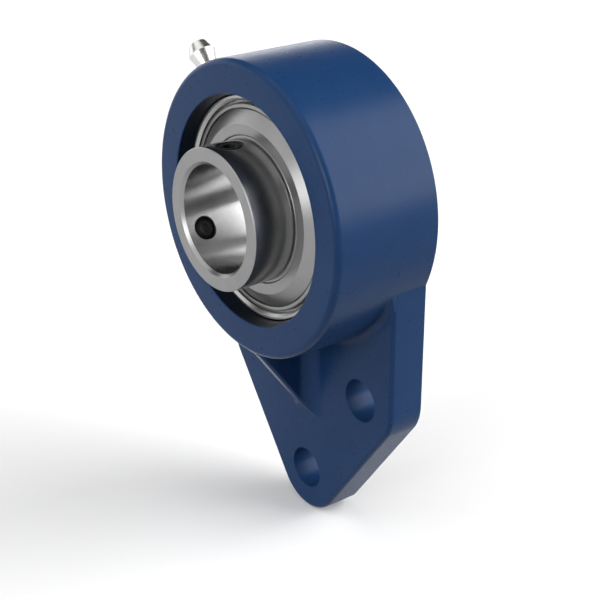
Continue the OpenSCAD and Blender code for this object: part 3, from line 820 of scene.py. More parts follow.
def seat_cutter():
    """All that is open round the shaft: mouth, spherical seat, grease groove and rear recess."""
    sizes = settings("housing")
    seat_r = OUTER_R + sizes.seat_gap
    edge = OUTER_HALF - sizes.seat_inset
    edge_r = math.sqrt(seat_r ** 2 - edge ** 2)
    mouth_r = OUTER_R - sizes.mouth_step
    rear_r = OUTER_R + sizes.rear_step
    bevel = sizes.edge_break
    groove_r = seat_r + sizes.groove_depth

    def seat_arc(low, high, steps):
        """The part of the spherical seat between two places along the shaft."""
        start, end = (math.degrees(math.asin(y / seat_r)) for y in (low, high))
        return arc((0, 0), seat_r, start, end, steps)

    corners = [
        (0, FRONT_Y - OVER, 0), (mouth_r + bevel + OVER, FRONT_Y - OVER, 0),
        (mouth_r + bevel, FRONT_Y, 0), (mouth_r + 0.3 * bevel, FRONT_Y + 0.3 * bevel, 0),
        (mouth_r, FRONT_Y + bevel, 0), (edge_r, -edge, 0),
        *seat_arc(-edge, -sizes.groove_outer, 6)[1:],
        (groove_r, -sizes.groove_outer, 0.3 * MM), (groove_r, -sizes.groove_inner, 0.3 * MM),
        *seat_arc(-sizes.groove_inner, edge, 16)[:-1], (edge_r, edge, 0),
        (rear_r, edge + rear_r - edge_r, 0.3 * MM), (rear_r, BACK_Y - bevel, 0),
        (rear_r + bevel, BACK_Y, 0), (rear_r + bevel + OVER, BACK_Y + OVER, 0),
        (0, BACK_Y + OVER, 0),
    ]
    return turned("seat_cutter", rounded(corners), 256)


def slot_cutter():
    """The two slots through which the outer ring goes in edge-on."""
    sizes = settings("housing")
    slot_h = 2 * (OUTER_HALF + sizes.slot_gap)
    slot_r = OUTER_R + 0.13 * MM
    corners = [(0, 0, 0), (slot_r, 0, 0), (slot_r, BACK_Y + OVER, 0), (0, BACK_Y + OVER, 0)]
    drum = turned("slot_cutter", rounded(corners), 192)
    deselect()
    bpy.ops.mesh.primitive_cube_add(size=1, location=(0, BACK_Y / 2 + 0.5 * MM, 0),
                                    scale=(2 * BARREL_R, BACK_Y + 3 * MM, slot_h))
    bar = bpy.context.object
    bpy.ops.object.transform_apply(location=True, rotation=True, scale=True)
    return combine(drum, bar, "INTERSECT")


def hole_cutter(x, z):
    """A bolt hole whose edges are broken at both ends."""
    edge = settings("housing").hole_break
    profile = []
    for plane, outward in ((flange_front(), -1), (BACK_Y, 1)):
        flare = [(HOLE_R + edge - edge * math.cos(a), plane + outward * (edge * math.sin(a) - edge))
                 for a in (math.radians(d) for d in (0, 30, 60, 90))]
        ends = [*flare, (HOLE_R + edge, plane + outward * MM), (0, plane + outward * MM)]
        profile += ends[::-1] if outward < 0 else ends
    piece = turned("hole_cutter", profile, 96)
    place(piece, move=(x, 0, z))
    return piece


def nipple_well_cutter():
    """Spot face, tapped hole and grease drilling."""
    nipple = settings("nipple")
    seat = BARREL_R - nipple.spot
    floor = seat - nipple.thread_l - 0.3 * MM
    spot_r = nipple.hex_w / math.cos(math.pi / 6) / 2 + 0.7 * MM
    hole_r = nipple.thread_d / 2 + 0.04 * MM
    profile = [(0, OUTER_R - 2 * MM), (MM, OUTER_R - 2 * MM), (MM, floor - MM), (hole_r, floor),
               (hole_r, seat), (spot_r, seat), (spot_r, seat + 3 * MM), (0, seat + 3 * MM)]
    piece = upright_turned("nipple_well_cutter", profile, 64)
    stand_round_shaft(piece, nipple.turn, -nipple.forward)
    return piece


class BEARING_OT_housing(Operator):
    """Models the cast housing with its flange, rib, seat and holes"""

    bl_idname = "bearing.housing"
    bl_label = "Housing"

    def execute(self, context):
        piece = barrel()
        for part in (flange_plate(), rib(), rib_top_blend(), barrel_foot()):
            combine(piece, part, "UNION")
        for tool in (seat_cutter(), slot_cutter(), hole_cutter(-UPPER_X, UPPER_Z),
                     hole_cutter(UPPER_X, UPPER_Z), hole_cutter(0, LOWER_Z), nipple_well_cutter()):
            combine(piece, tool)
            close_mesh(piece)
        smooth(piece)
        finishes = [finish("enamel"), finish("iron"), finish("mouth")]
        finish_piece(piece, finishes, "bracket", "housing_paint", "housing")
        self.mark_machined_faces(piece)
        return {"FINISHED"}

    def mark_machined_faces(self, piece):
        """The mounting face, the spherical seat and the rear recess are bare iron; the mouth wall gets
        a near-black finish that is painted shade.
        """
        inside = OUTER_R + settings("housing").rear_step + 0.5 * MM
        for face in piece.data.polygons:
            centre, normal = face.center, face.normal
            radius = math.hypot(centre.x, centre.z)
            back_face = normal.y > 0.99 and centre.y > BACK_Y - 0.01 * MM
            seat = radius < inside and centre.y > -OUTER_HALF
            # Faces of the mouth wall, which get the painted shade.
            wall = radius < OUTER_R and abs(normal.y) < 0.2
            if back_face or seat:
                face.material_index = 1  # iron
            elif wall:
                face.material_index = 2  # mouth


# The insert bearing

def inner_ring_points():
    """Section of the inner ring as radius and place along the shaft."""
    sizes = settings("bearing")
    land_r, collar_r = land_radius(), collar_radius()
    front, back = RING_LOW.y, RING_HIGH.y
    track_x = PITCH_R - BALL_R - sizes.track_gap + sizes.track_r
    tilt = math.degrees(math.acos((track_x - land_r) / sizes.track_r))
    track = arc((track_x, 0), sizes.track_r, 180 + tilt, 180 - tilt, 20)
    bevel, edge, half, step_edge = sizes.bore_bevel, sizes.ring_edge, sizes.land_half, 0.15 * MM
    return rounded([
        (BORE_R + bevel, front, EDGE), (collar_r, front, edge),
        (collar_r, -half, step_edge), (land_r, -half, step_edge), *track,
        (land_r, half, step_edge), (collar_r, half, step_edge),
        (collar_r, back, edge), (BORE_R + bevel, back, EDGE), (BORE_R, back - bevel, EDGE),
        (BORE_R, front + bevel, EDGE),
    ])


def screw_hole_cutter(turn_angle):
    """A tapped hole through the collar, with both edges broken."""
    screws = settings("screws")
    radius = screws.screw_d / 2 + screws.thread_gap
    top, edge = collar_radius(), 0.2 * MM
    profile = [(0, BORE_R - 2 * OVER), (radius + edge, BORE_R - 2 * OVER),
               (radius + edge, BORE_R - edge / 2), (radius, BORE_R + edge),
               (radius, top - screws.bevel), (radius + screws.bevel + OVER, top + OVER),
               (0, top + OVER)]
    piece = upright_turned("screw_hole_cutter", profile, 72)
    stand_round_shaft(piece, turn_angle, RING_LOW.y + screws.inset)
    return piece


class BEARING_OT_inner_ring(Operator):
    """Models the inner ring with its ball track and two tapped holes"""

    bl_idname = "bearing.inner_ring"
    bl_label = "Inner ring"

    def execute(self, context):
        screws = settings("screws")
        piece = turned("inner_ring_ground", inner_ring_points(), 256)
        for turn_angle in (screws.first, screws.first + screws.spread):
            combine(piece, screw_hole_cutter(turn_angle))
        close_mesh(piece)
        smooth(piece)
        finishes = [finish("ring"), finish("collar"), finish("bore"), finish("black")]
        finish_piece(piece, finishes, "rotor", "ring_steel", "inner_ring")
        self.mark_surfaces(piece)
        return {"FINISHED"}

    def mark_surfaces(self, piece):
        """The outside and the bore each have a finish of their own; the walls and bevels of the tapped
        holes get the black oxide as painted shade.
        """
        screws = settings("screws")
        reach = screws.screw_d / 2 + screws.bevel + 0.1 * MM
        middles = [matrix_round_shaft(screws.first + i * screws.spread, RING_LOW.y + screws.inset)
                   for i in range(2)]
        for face in piece.data.polygons:
            centre, normal = face.center, face.normal
            radius = math.hypot(centre.x, centre.z)
            outward = math.hypot(normal.x, normal.z)
            straight = abs(normal.x * centre.x + normal.z * centre.z) / radius
            local = [m.inverted() @ centre for m in middles]
            hole_painted_shade = any(math.hypot(v.x, v.y) < reach and v.z > 0 for v in local)
            # Painted shade: the walls and bevels of the tapped holes get the screws' black oxide so
            # that they read dark.
            if hole_painted_shade and straight < 0.95:
                face.material_index = 3  # black
            elif outward > 0.95:
                face.material_index = 2 if radius < BORE_R + WELD else 1  # bore or collar


class BEARING_OT_outer_ring(Operator):
    """Models the outer ring with its spherical outside, track and shield recesses"""

    bl_idname = "bearing.outer_ring"
    bl_label = "Outer ring"

    def execute(self, context):
        sizes, nipple = settings("bearing"), settings("nipple")
        land_r, recess_r = outer_land_radius(), recess_radius()
        tilt = math.degrees(math.asin(OUTER_HALF / OUTER_R))
        outside = arc((0, 0), OUTER_R, -tilt, tilt, 24)
        outside[0] = (*outside[0][:2], 0.25 * MM)
        outside[-1] = (*outside[-1][:2], 0.25 * MM)
        track_x = PITCH_R + BALL_R + sizes.track_gap - sizes.track_r
        open_angle = math.degrees(math.acos((land_r - track_x) / sizes.track_r))
        track = arc((track_x, 0), sizes.track_r, open_angle, -open_angle, 20)
        bevel, floor = sizes.recess_bevel, sizes.recess_floor
        corners = [
            *outside,
            (recess_r + bevel, OUTER_HALF, EDGE), (recess_r, OUTER_HALF - bevel, EDGE),
            (recess_r, floor, EDGE), (land_r, floor, EDGE), *track, (land_r, -floor, EDGE),
            (recess_r, -floor, EDGE), (recess_r, bevel - OUTER_HALF, EDGE),
            (recess_r + bevel, -OUTER_HALF, EDGE),
        ]
        piece = turned("outer_ring_ground", rounded(corners, steps=4), 256)
        drill = sizes.grease_hole / 2
        for turn_angle in (nipple.turn, nipple.turn + math.pi):
            low, high = land_r - OVER, OUTER_R + OVER
            tool = upright_turned("grease_drill", [(0, low), (drill, low), (drill, high), (0, high)],
                                  24)
            stand_round_shaft(tool, turn_angle, -sizes.grease_hole_y)
            combine(piece, tool)
        close_mesh(piece)
        smooth(piece)
        finish_piece(piece, finish("outer"), "insert", "ring_steel", "outer_ring")
        return {"FINISHED"}


class BEARING_OT_shields(Operator):
    """Models the sheet washer and the rubber lip of both shields"""

    bl_idname = "bearing.shields"
    bl_label = "Shields"

    def execute(self, context):
        for part, points, steps, material, slot in (
                ("washer", self.washer_points(), 224, "sheet", "pressed_steel"),
                ("lip", self.lip_points(), 160, "rubber", "seal_rubber")):
            front = turned(f"front_{part}_pressed", points, steps)
            rear = turned_round(front, f"rear_{part}_pressed")
            for side, piece in (("front", front), ("rear", rear)):
                smooth(piece)
                finish_piece(piece, finish(material), "insert", slot, f"{side}_{part}")
        return {"FINISHED"}

    def washer_points(self):
        """Section of the front washer, a disc with an upright rim that turns in at its edge."""
        sizes, floor = settings("shields"), settings("bearing").recess_floor
        recess_r = recess_radius()
        rim_r = recess_r - sizes.rim_inset
        lip_r = rim_r - sizes.rim_turn
        bore_r = land_radius() + sizes.lip_h
        wall = sizes.washer_t
        base, top = -floor, -floor - wall
        reach = -OUTER_HALF + sizes.rim_sink
        return rounded([
            (bore_r, base, EDGE / 2), (recess_r, base, EDGE), (recess_r, top, EDGE),
            (rim_r, top, EDGE), (rim_r, reach, 0.45 * MM), (lip_r, reach, 0.15 * MM),
            (lip_r, reach + wall - EDGE, EDGE), (rim_r - wall, reach + wall, EDGE),
            (rim_r - wall, top, EDGE), (bore_r, top, EDGE / 2),
        ])

    def lip_points(self):
        """Section of the front lip, moulded round the washer's inner edge."""
        sizes = settings("shields")
        tip_r, hold_r = land_radius() + sizes.lip_gap, land_radius() + sizes.lip_h
        grip = 1.4 * MM
        middle = -settings("bearing").recess_floor - sizes.washer_t / 2
        inside, outside = middle + sizes.lip_t / 2, middle - sizes.lip_t / 2
        base, top = middle + sizes.washer_t / 2, middle - sizes.washer_t / 2
        return rounded([
            (tip_r, middle + 0.25 * MM, 0.05 * MM), (tip_r + 0.5 * MM, inside, 0.15 * MM),
            (hold_r + grip, inside, 0.12 * MM), (hold_r + grip, base, 0), (hold_r, base, 0),
            (hold_r, top, 0), (hold_r + grip, top, 0), (hold_r + grip, outside, 0.12 * MM),
            (tip_r + 1.1 * MM, outside, 0.3 * MM), (tip_r, middle - 0.15 * MM, 0.05 * MM),
        ])


class BEARING_OT_flingers(Operator):
    """Models the pressed flinger on both sides of the bearing"""

    bl_idname = "bearing.flingers"
    bl_label = "Flingers"

    def execute(self, context):
        sizes = settings("shields")
        rim_r = recess_radius() - sizes.rim_inset - sizes.rim_turn - sizes.flinger_gap
        flat_r = rim_r - sizes.cone_w
        sleeve_r = land_radius() + sizes.press_gap
        washer_top = settings("bearing").recess_floor + sizes.washer_t
        sleeve_end = -washer_top - 0.5 * MM
        under = -washer_top - sizes.flinger_room
        reach, wall = -OUTER_HALF - sizes.flinger_rise, sizes.flinger_t
        edge = 0.35 * MM
        corners = [
            (sleeve_r, sleeve_end, EDGE), (sleeve_r + wall, sleeve_end, EDGE),
            (sleeve_r + wall, reach + wall, EDGE), (flat_r - 0.3 * MM, reach + wall, 0.5 * MM),
            (rim_r - 0.45 * MM, under, EDGE), (rim_r, under, 2 * EDGE),
            (rim_r, under - edge - 0.25 * MM, 0.3 * MM), (flat_r, reach, 0.5 * MM),
            (sleeve_r, reach, 0.4 * MM),
        ]
        front = turned("front_flinger_pressed", rounded(corners, steps=6), 224)
        rear = turned_round(front, "rear_flinger_pressed")
        for side, piece in (("front", front), ("rear", rear)):
            smooth(piece)
            finish_piece(piece, finish("sheet"), "rotor", "pressed_steel", f"{side}_flinger")
        return {"FINISHED"}


# Balls and cage

def ball_centres():
    """Where the ball centres lie, in the order in which they follow the shaft's turn."""
    step = FULL_TURN / BALLS
    matrices = [matrix_round_shaft(math.pi / 2 - i * step, 0) for i in range(1, BALLS + 1)]
    return [matrix @ Vector((0, 0, PITCH_R)) for matrix in matrices]


def rivet_centres():
    """Where the rivets lie, halfway between the balls."""
    half_step = Matrix.Rotation(math.pi / BALLS, 4, "Y")
    return [half_step @ centre for centre in ball_centres()]


def sphere(name, radius, cuts):
    """A ball made from a cube that is subdivided and pushed onto a sphere."""
    deselect()
    bpy.ops.mesh.primitive_cube_add(size=2 * radius)
    piece = bpy.context.object
    piece.name = piece.data.name = name
    edit(piece)
    bpy.ops.mesh.subdivide(number_cuts=cuts)
    bpy.ops.mesh.select_all(action="SELECT")
    bpy.ops.transform.tosphere(value=1.0)
    object_mode()
    reach = max(v.co.length for v in piece.data.vertices)
    edit(piece)
    bpy.ops.transform.resize(value=(radius / reach,) * 3, center_override=CENTRE)
    object_mode()
    return piece


class BEARING_OT_balls(Operator):
    """Models one lapped ball and copies it into every pocket"""

    bl_idname = "bearing.balls"
    bl_label = "Balls"

    def execute(self, context):
        pattern = sphere("ball_pattern", BALL_R, 23)
        for i, centre in enumerate(ball_centres(), start=1):
            ball = copy_of(pattern, f"ball_{i}_lapped")
            place(ball, move=centre)
            smooth(ball)
            finish_piece(ball, finish("ball"), f"ball_{i}_body", "ball_steel", f"ball_{i}")
        remove(pattern)
        return {"FINISHED"}


class BEARING_OT_cage(Operator):
    """Models the riveted cage as two pressed halves and nine rivets"""

    bl_idname = "bearing.cage"
    bl_label = "Cage"

    def execute(self, context):
        rear = self.half()
        front = turned_round(rear, "cage_front_pressed")
        for side, piece in (("rear", rear), ("front", front)):
            smooth(piece)
            finish_piece(piece, finish("sheet"), "cage", "pressed_steel", f"cage_{side}")
        self.rivets()
        return {"FINISHED"}

    def half(self):
        """The rear half: a flat band with a dished pocket over each ball."""
        sizes = settings("bearing")
        inside, outside = PITCH_R - sizes.cage_band / 2, PITCH_R + sizes.cage_band / 2
        pocket = BALL_R + sizes.pocket_gap
        centres = ball_centres()
        band = turned("cage_rear_pressed", [
            (inside - OVER, -OVER), (outside + OVER, -OVER), (outside + OVER, sizes.cage_t),
            (inside - OVER, sizes.cage_t)], 288)
        combine(band, self.set_of(sphere("cage_dome", pocket + sizes.cage_t, 15), centres), "UNION")
        combine(band, self.set_of(sphere("cage_hollow", pocket, 15), centres))
        drill = upright_turned("rivet_drill", [(0, -2 * OVER), (sizes.rivet_r, -2 * OVER),
                                               (sizes.rivet_r, 4 * OVER), (0, 4 * OVER)], 24)
        place(drill, -math.pi / 2, "X")
        combine(band, self.set_of(drill, rivet_centres()))
        trim = turned("cage_trim", [(inside, 0), (outside, 0), (outside, 2 * pocket),
                                    (inside, 2 * pocket)], 288)
        combine(band, trim, "INTERSECT")
        close_mesh(band)
        return band

    def set_of(self, pattern, places):
        """Copies of a pattern at several places, joined, in place of the pattern."""
        copies = []
        for spot in places:
            copies.append(copy_of(pattern, pattern.name + "_copy"))
            place(copies[-1], move=spot)
        remove(pattern)
        activate(copies[0])
        for each in copies:
            each.select_set(True)
        bpy.ops.object.join()
        return bpy.context.object

    def rivets(self):
        """Nine rivets with round heads, kept as one piece."""
        sizes = settings("bearing")
        shank, head = sizes.rivet_r, sizes.rivet_head_r
        dome = [(head * math.cos(a), sizes.cage_t + sizes.rivet_head_h * math.sin(a))
                for a in (math.radians(d) for d in range(0, 91, 15))]
        upper = [(shank, sizes.cage_t), *dome]
        lower = [(r, -z) for r, z in reversed(upper)]
        pattern = upright_turned("rivet_pattern", [*lower, *upper], 32)
        place(pattern, -math.pi / 2, "X")
        piece = self.set_of(pattern, rivet_centres())
        piece.name = piece.data.name = "cage_rivets_set"
        smooth(piece, 40)
        finish_piece(piece, finish("ball"), "cage", "ring_steel", "cage_rivets")


# Set screws and grease nipple

def threaded_bar(name, diameter, pitch, low, high):
    """A bar along Z with a helical thread, cut square at both ends."""
    radius = diameter / 2 - THREAD_PLAY
    turns = int((high - low) / pitch) + 3
    start = low - 1.55 * pitch
    root = radius - THREAD_DEPTH
    flat_w = pitch / 8
    points = [(root, 0, start), (root, 0, start + flat_w), (radius, 0, start + pitch / 2 - flat_w / 2),
              (radius, 0, start + pitch / 2 + flat_w / 2), (root, 0, start + pitch)]
    piece = outline(name, points, closed=False)
    object_mode()
    modify(piece, "SCREW", angle=FULL_TURN, screw_offset=pitch, iterations=turns, steps=48,
           render_steps=48, axis="Z")
    close_mesh(piece)
    edit(piece)
    for level, side in ((low, -1), (high, 1)):
        cut_away((0, 0, level), (0, 0, side))
    close_mesh(piece)
    return piece


class BEARING_OT_set_screws(Operator):
    """Models a threaded set screw with a hexagon socket and a cup point, twice"""

    bl_idname = "bearing.set_screws"
    bl_label = "Set screws"

    def execute(self, context):
        sizes = settings("screws")
        top = collar_radius() - sizes.sink
        tip = BORE_R + sizes.clear
        radius = sizes.screw_d / 2
        screw = threaded_bar("set_screw_pattern", sizes.screw_d, sizes.pitch,
                             tip - OVER / 2, top + OVER / 2)
        cup_z = tip + 0.45 * MM
        envelope = upright_turned("screw_envelope", [
            (0, cup_z), (radius * 0.22, cup_z), (radius * 0.5, tip), (radius * 0.62, tip),
            (radius + EDGE, tip + 0.75 * MM), (radius + EDGE, top - 0.3 * MM),
            (radius - 0.35 * MM, top), (0, top)], 64)
        combine(screw, envelope, "INTERSECT")
        floor = top - sizes.socket_depth
        flat_r, drill_r = sizes.socket_w / 2, sizes.socket_w * 0.42
        socket = prism("socket", 6, sizes.socket_w, floor, top + OVER)
        lead = upright_turned("socket_lead", [
            (0, top - 0.25 * MM), (flat_r - EDGE / 2, top - 0.25 * MM),
            (flat_r + 0.35 * MM, top + EDGE), (0, top + EDGE)], 48)
        drill = upright_turned("socket_drill", [
            (0, floor - 0.35 * MM), (drill_r, floor + EDGE), (drill_r, top - OVER),
            (0, top - OVER)], 48)
        for tool in (socket, lead, drill):
            combine(screw, tool)
        close_mesh(screw)
        for index in (1, 2):
            piece = copy_of(screw, f"set_screw_{index}_threaded")
            turn_angle = sizes.first + (index - 1) * sizes.spread
            stand_round_shaft(piece, turn_angle, RING_LOW.y + sizes.inset)
            smooth(piece)
            finish_piece(piece, finish("black"), f"screw_{index}_body", "screw_steel",
                         f"set_screw_{index}")
        remove(screw)
        return {"FINISHED"}


class BEARING_OT_nipple(Operator):
    """Models the grease nipple with its check ball and spring"""

    bl_idname = "bearing.nipple"
    bl_label = "Grease nipple"

    def execute(self, context):
        sizes = settings("nipple")
        seat = BARREL_R - sizes.spot
        top = seat + sizes.height
        self.body(seat, top)
        self.check_ball_and_spring(seat, top)
        return {"FINISHED"}

    def body(self, seat, top):
        """The nipple's body: a threaded stem, a hexagon and a head with a cone to both sides."""
        sizes = settings("nipple")
        widest = top - sizes.cone_h
        neck_top, foot = seat + sizes.hex_h, seat - 0.2 * MM
        head_r, neck_r, top_r = sizes.head_d / 2, sizes.neck_d / 2, sizes.top_d / 2
        piece = upright_turned("grease_nipple_body", rounded([
            (0, foot, 0), (neck_r, foot, 0), (neck_r, neck_top + 0.4 * MM, 0.3 * MM),
            (head_r, widest, 0.18 * MM), (top_r, top - EDGE / 2, 0.2 * MM),
            (top_r - 0.3 * MM, top, EDGE / 2), (0, top, 0)]), 96)
        hexagon = prism("hexagon", 6, sizes.hex_w, seat, neck_top)
        flat_r = sizes.hex_w / 2
        corner_r = flat_r / math.cos(math.pi / 6)
        chamfer = upright_turned("hexagon_chamfer", [
            (0, seat), (corner_r + 2 * MM, seat), (corner_r + 2 * MM, neck_top - 1.2 * MM),
            (flat_r - EDGE, neck_top), (0, neck_top)], 96)
        combine(hexagon, chamfer, "INTERSECT")
        combine(piece, hexagon, "UNION")
        thread_r, low = sizes.thread_d / 2, seat - sizes.thread_l
        thread = threaded_bar("nipple_thread", sizes.thread_d, sizes.pitch,
                              low - OVER / 2, seat + OVER / 2)
        envelope = upright_turned("thread_envelope", [
            (0, low), (thread_r - 0.5 * MM, low), (thread_r + EDGE, low + 0.6 * MM),
            (thread_r + EDGE, seat + EDGE), (0, seat + EDGE)], 64)
        combine(thread, envelope, "INTERSECT")
        combine(piece, thread, "UNION")
        for tool in self.way_cutters(seat, top):
            combine(piece, tool)
        close_mesh(piece)
        stand_round_shaft(piece, sizes.turn, -sizes.forward)
        smooth(piece)
        finish_piece(piece, finish("zinc"), "bracket", "nipple_zinc", "grease_nipple")

    def way_cutters(self, seat, top):
        """The inlet that the ball closes, the spring chamber and the outlet."""
        sizes = settings("nipple")
        ball_r, inlet_r = sizes.ball_d / 2, sizes.inlet_d / 2
        chamber_r, outlet_r = ball_r + 0.15 * MM, ball_r * 0.65
        floor, edge = seat + sizes.chamber_floor, top - sizes.inlet_l
        low, high = seat - sizes.thread_l - OVER, seat + 2 * MM
        yield upright_turned("chamber", [
            (0, floor), (chamber_r, floor), (chamber_r, edge - 0.5 * MM), (inlet_r, edge),
            (inlet_r, top + OVER), (0, top + OVER)], 48)
        yield upright_turned("outlet", [(0, low), (outlet_r, low), (outlet_r, high), (0, high)], 48)

    def check_ball_and_spring(self, seat, top):
        """The ball that closes the inlet and the coil spring that holds it there."""
        sizes = settings("nipple")
        ball_r, wire_r = sizes.ball_d / 2, sizes.wire / 2
        dip = math.sqrt(ball_r ** 2 - (sizes.inlet_d / 2) ** 2)
        ball_z = top - sizes.inlet_l - dip - 0.02 * MM
        ball = sphere("check_ball", ball_r, 11)
        place(ball, move=(0, 0, ball_z))
        stand_round_shaft(ball, sizes.turn, -sizes.forward)
        smooth(ball)
        finish_piece(ball, finish("ball"), "check_ball_body", "ball_steel", "nipple_ball")
        coil_r = ball_r - wire_r - EDGE
        low = seat + sizes.chamber_floor + wire_r
        high = ball_z - math.sqrt((ball_r + wire_r) ** 2 - coil_r ** 2) - 0.02 * MM
        section = [(coil_r + wire_r * math.cos(a), 0, low + wire_r * math.sin(a))
                   for a in (FULL_TURN * i / 12 for i in range(12))]
        spring = outline("check_spring", section)
        object_mode()
        modify(spring, "SCREW", angle=FULL_TURN, screw_offset=(high - low) / sizes.coils,
               iterations=sizes.coils, steps=32, render_steps=32, axis="Z", use_merge_vertices=False)
        edit(spring)
        pick(spring, "edges", lambda e: e.is_boundary)
        bpy.ops.mesh.edge_face_add()
        close_mesh(spring)
        stand_round_shaft(spring, sizes.turn, -sizes.forward)
        smooth(spring, 40)
        finish_piece(spring, finish("ball"), "bracket", "ring_steel", "nipple_spring")


# Floor, surroundings, lights and camera

# Directions in degrees: azimuth 0 is in front and 90 at the right, elevation 90 is overhead.
# A round panel has azimuth, elevation and reach, an upright one the edges of both.
ROUND_PANELS = (("front_panel", 15, 12, 16), ("top_panel", -10, 62, 36))
UPRIGHT_PANELS = (("side_panel", (108, 170), (-10, 55)), ("rear_panel", (-155, -104), (-10, 7)),
                  ("backdrop", (-100, -20), (-5, 24)))
WALL_TOP = (15, 23)
SOFT_EDGE = 4
FLOOR_SIZE = 12
FILM_WIDTH = 36
VIEW_RANGE = (0.01, 50)


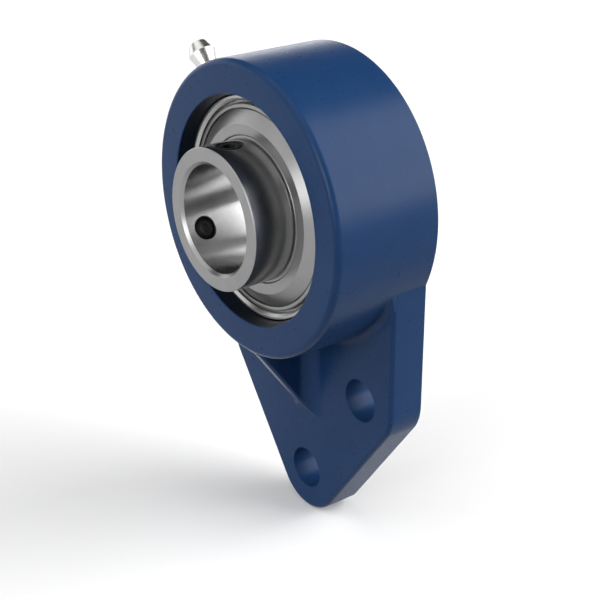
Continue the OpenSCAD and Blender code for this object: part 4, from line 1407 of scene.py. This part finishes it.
class BEARING_OT_stage(Operator):
    """Lays the floor and sets the lights, the surroundings and the camera"""

    bl_idname = "bearing.stage"
    bl_label = "Stage"

    def execute(self, context):
        self.floor()
        self.surroundings(context)
        self.camera(context)
        return {"FINISHED"}

    def floor(self):
        """A plain pale floor that looks white and keeps the object's shadow."""
        stage = settings("stage")
        deselect()
        bpy.ops.mesh.primitive_plane_add(size=FLOOR_SIZE, location=(0, 0, FLOOR_Z))
        floor = bpy.context.object
        floor.name = "floor"
        bpy.ops.object.transform_apply(location=True, rotation=True, scale=True)
        material = bpy.data.materials.new("pale_floor")
        material.use_nodes = True
        tree = material.node_tree
        tree.nodes.clear()
        seen = self.seen_rays(tree)
        tone = blend_colours(tree, seen, (stage.floor_bounce,) * 3, (stage.floor_tone,) * 3)
        matte = add(tree, "BsdfDiffuse", {"Color": tone})
        glow = self.calculate(tree, "MULTIPLY", seen, stage.floor_glow)
        light = add(tree, "Emission", {"Color": (1, 1, 1, 1), "Strength": glow})
        both = add(tree, "AddShader", {0: matte.outputs[0], 1: light.outputs[0]})
        add(tree, "OutputMaterial", {"Surface": both.outputs[0]})
        floor.data.materials.append(material)

    def surroundings(self, context):
        """A dim room with soft panels of light and, for rays that are seen, a low pale wall."""
        stage = settings("stage")
        world = bpy.data.worlds.new("studio")
        context.scene.world = world
        world.use_nodes = True
        tree = world.node_tree
        tree.nodes.clear()
        direction = add(tree, "TexCoord").outputs["Generated"]
        shares = {}
        for name, *shape in ROUND_PANELS:
            shares[name] = self.round_panel(tree, direction, *shape)
        for name, *shape in UPRIGHT_PANELS:
            shares[name] = self.upright_panel(tree, direction, *shape)
        low, high = (math.sin(math.radians(edge)) for edge in WALL_TOP)
        height = add(tree, "SeparateXYZ", {"Vector": direction}).outputs["Z"]
        below = self.ramp(tree, height, high, low)
        shares["wall"] = self.calculate(tree, "MULTIPLY", below, self.seen_rays(tree))
        total = stage.room
        for name, share in shares.items():
            total = self.calculate(tree, "MULTIPLY_ADD", share, getattr(stage, name), total)
        light = add(tree, "Background", {"Color": (1, 1, 1, 1), "Strength": total})
        add(tree, "OutputWorld", {"Surface": light.outputs[0]})

    def calculate(self, tree, operation, *values, **choices):
        """The result of a Math node."""
        return add(tree, "Math", dict(enumerate(values)), operation=operation, **choices).outputs[0]

    def seen_rays(self, tree):
        """Rays that show the pale floor and wall: from the camera, and off or through the object."""
        rays = add(tree, "LightPath").outputs
        seen = self.calculate(tree, "ADD", rays["Is Camera Ray"], rays["Is Glossy Ray"])
        return self.calculate(tree, "ADD", seen, rays["Is Transmission Ray"], use_clamp=True)

    def round_panel(self, tree, direction, azimuth, elevation, reach):
        """How much of a round panel lies in a direction."""
        turn, lift = math.radians(azimuth), math.radians(elevation)
        axis = (math.sin(turn) * math.cos(lift), -math.cos(turn) * math.cos(lift), math.sin(lift))
        towards = add(tree, "VectorMath", {0: direction, 1: axis}, operation="DOT_PRODUCT")
        return self.ramp(tree, towards.outputs["Value"], math.cos(math.radians(reach + SOFT_EDGE)),
                         math.cos(math.radians(reach - SOFT_EDGE)))

    def upright_panel(self, tree, direction, azimuths, elevations):
        """How much of an upright rectangular panel lies in a direction."""
        split = add(tree, "SeparateXYZ", {"Vector": direction}).outputs
        front = self.calculate(tree, "MULTIPLY", split["Y"], -1.0)
        azimuth = self.calculate(tree, "ARCTAN2", split["X"], front)
        lift = self.calculate(tree, "ARCSINE", split["Z"])
        share = 1.0
        for value, (low, high) in ((azimuth, azimuths), (lift, elevations)):
            for edge, soft in ((low, SOFT_EDGE), (high, -SOFT_EDGE)):
                start, end = math.radians(edge - soft), math.radians(edge + soft)
                share = self.calculate(tree, "MULTIPLY", self.ramp(tree, value, start, end), share)
        return share

    def ramp(self, tree, value, start, end):
        """Rises softly from 0 to 1 as a value goes from start to end."""
        return add(tree, "MapRange", {"Value": value, "From Min": start, "From Max": end},
                   interpolation_type="SMOOTHSTEP").outputs["Result"]

    def camera(self, context):
        """The camera of the photo, at its distance from the point it looks at."""
        stage = settings("stage")
        camera = bpy.data.cameras.new("camera")
        camera.sensor_width = FILM_WIDTH
        camera.lens = stage.lens
        camera.clip_start, camera.clip_end = VIEW_RANGE
        camera_object = bpy.data.objects.new("camera", camera)
        context.scene.collection.objects.link(camera_object)
        rotation = (Matrix.Rotation(stage.azimuth, 4, "Z")
                    @ Matrix.Rotation(math.pi / 2 - stage.elevation, 4, "X")
                    @ Matrix.Rotation(stage.roll, 4, "Z"))
        camera_object.matrix_world = (Matrix.Translation(stage.aim) @ rotation
                                      @ Matrix.Translation((0, 0, stage.distance)))
        context.scene.camera = camera_object


STEPS = (BEARING_OT_stage, BEARING_OT_housing, BEARING_OT_inner_ring, BEARING_OT_outer_ring,
         BEARING_OT_shields, BEARING_OT_flingers, BEARING_OT_balls, BEARING_OT_cage,
         BEARING_OT_set_screws, BEARING_OT_nipple)

GROUPS = {"housing": HousingSizes, "bearing": BearingSizes, "shields": ShieldSizes,
          "screws": ScrewSizes, "nipple": NippleSizes, "colours": FinishColours,
          "stage": StageSettings}


class BEARING_PT_pieces(Panel):
    """Lists the pieces of the bearing unit"""

    bl_label = "Bearing unit"
    bl_space_type = "VIEW_3D"
    bl_region_type = "UI"
    bl_category = "Bearing unit"

    def draw(self, context):
        for step in STEPS:
            self.layout.operator(step.bl_idname)


def register():
    for item in (*GROUPS.values(), *STEPS, BEARING_PT_pieces):
        bpy.utils.register_class(item)
    for name, group in GROUPS.items():
        setattr(bpy.types.Scene, "bearing_" + name, PointerProperty(type=group))


def unregister():
    for name in GROUPS:
        delattr(bpy.types.Scene, "bearing_" + name)
    for item in (BEARING_PT_pieces, *reversed(STEPS), *reversed(GROUPS.values())):
        bpy.utils.unregister_class(item)


def main():
    """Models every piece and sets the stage."""
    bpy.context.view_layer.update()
    register()
    scene = bpy.context.scene
    scene.view_settings.view_transform = "Standard"
    bpy.ops.bearing.stage()
    bpy.ops.bearing.housing()
    bpy.ops.bearing.inner_ring()
    bpy.ops.bearing.outer_ring()
    bpy.ops.bearing.shields()
    bpy.ops.bearing.flingers()
    bpy.ops.bearing.balls()
    bpy.ops.bearing.cage()
    bpy.ops.bearing.set_screws()
    bpy.ops.bearing.nipple()
    deselect()


if __name__ == "__main__":
    main()
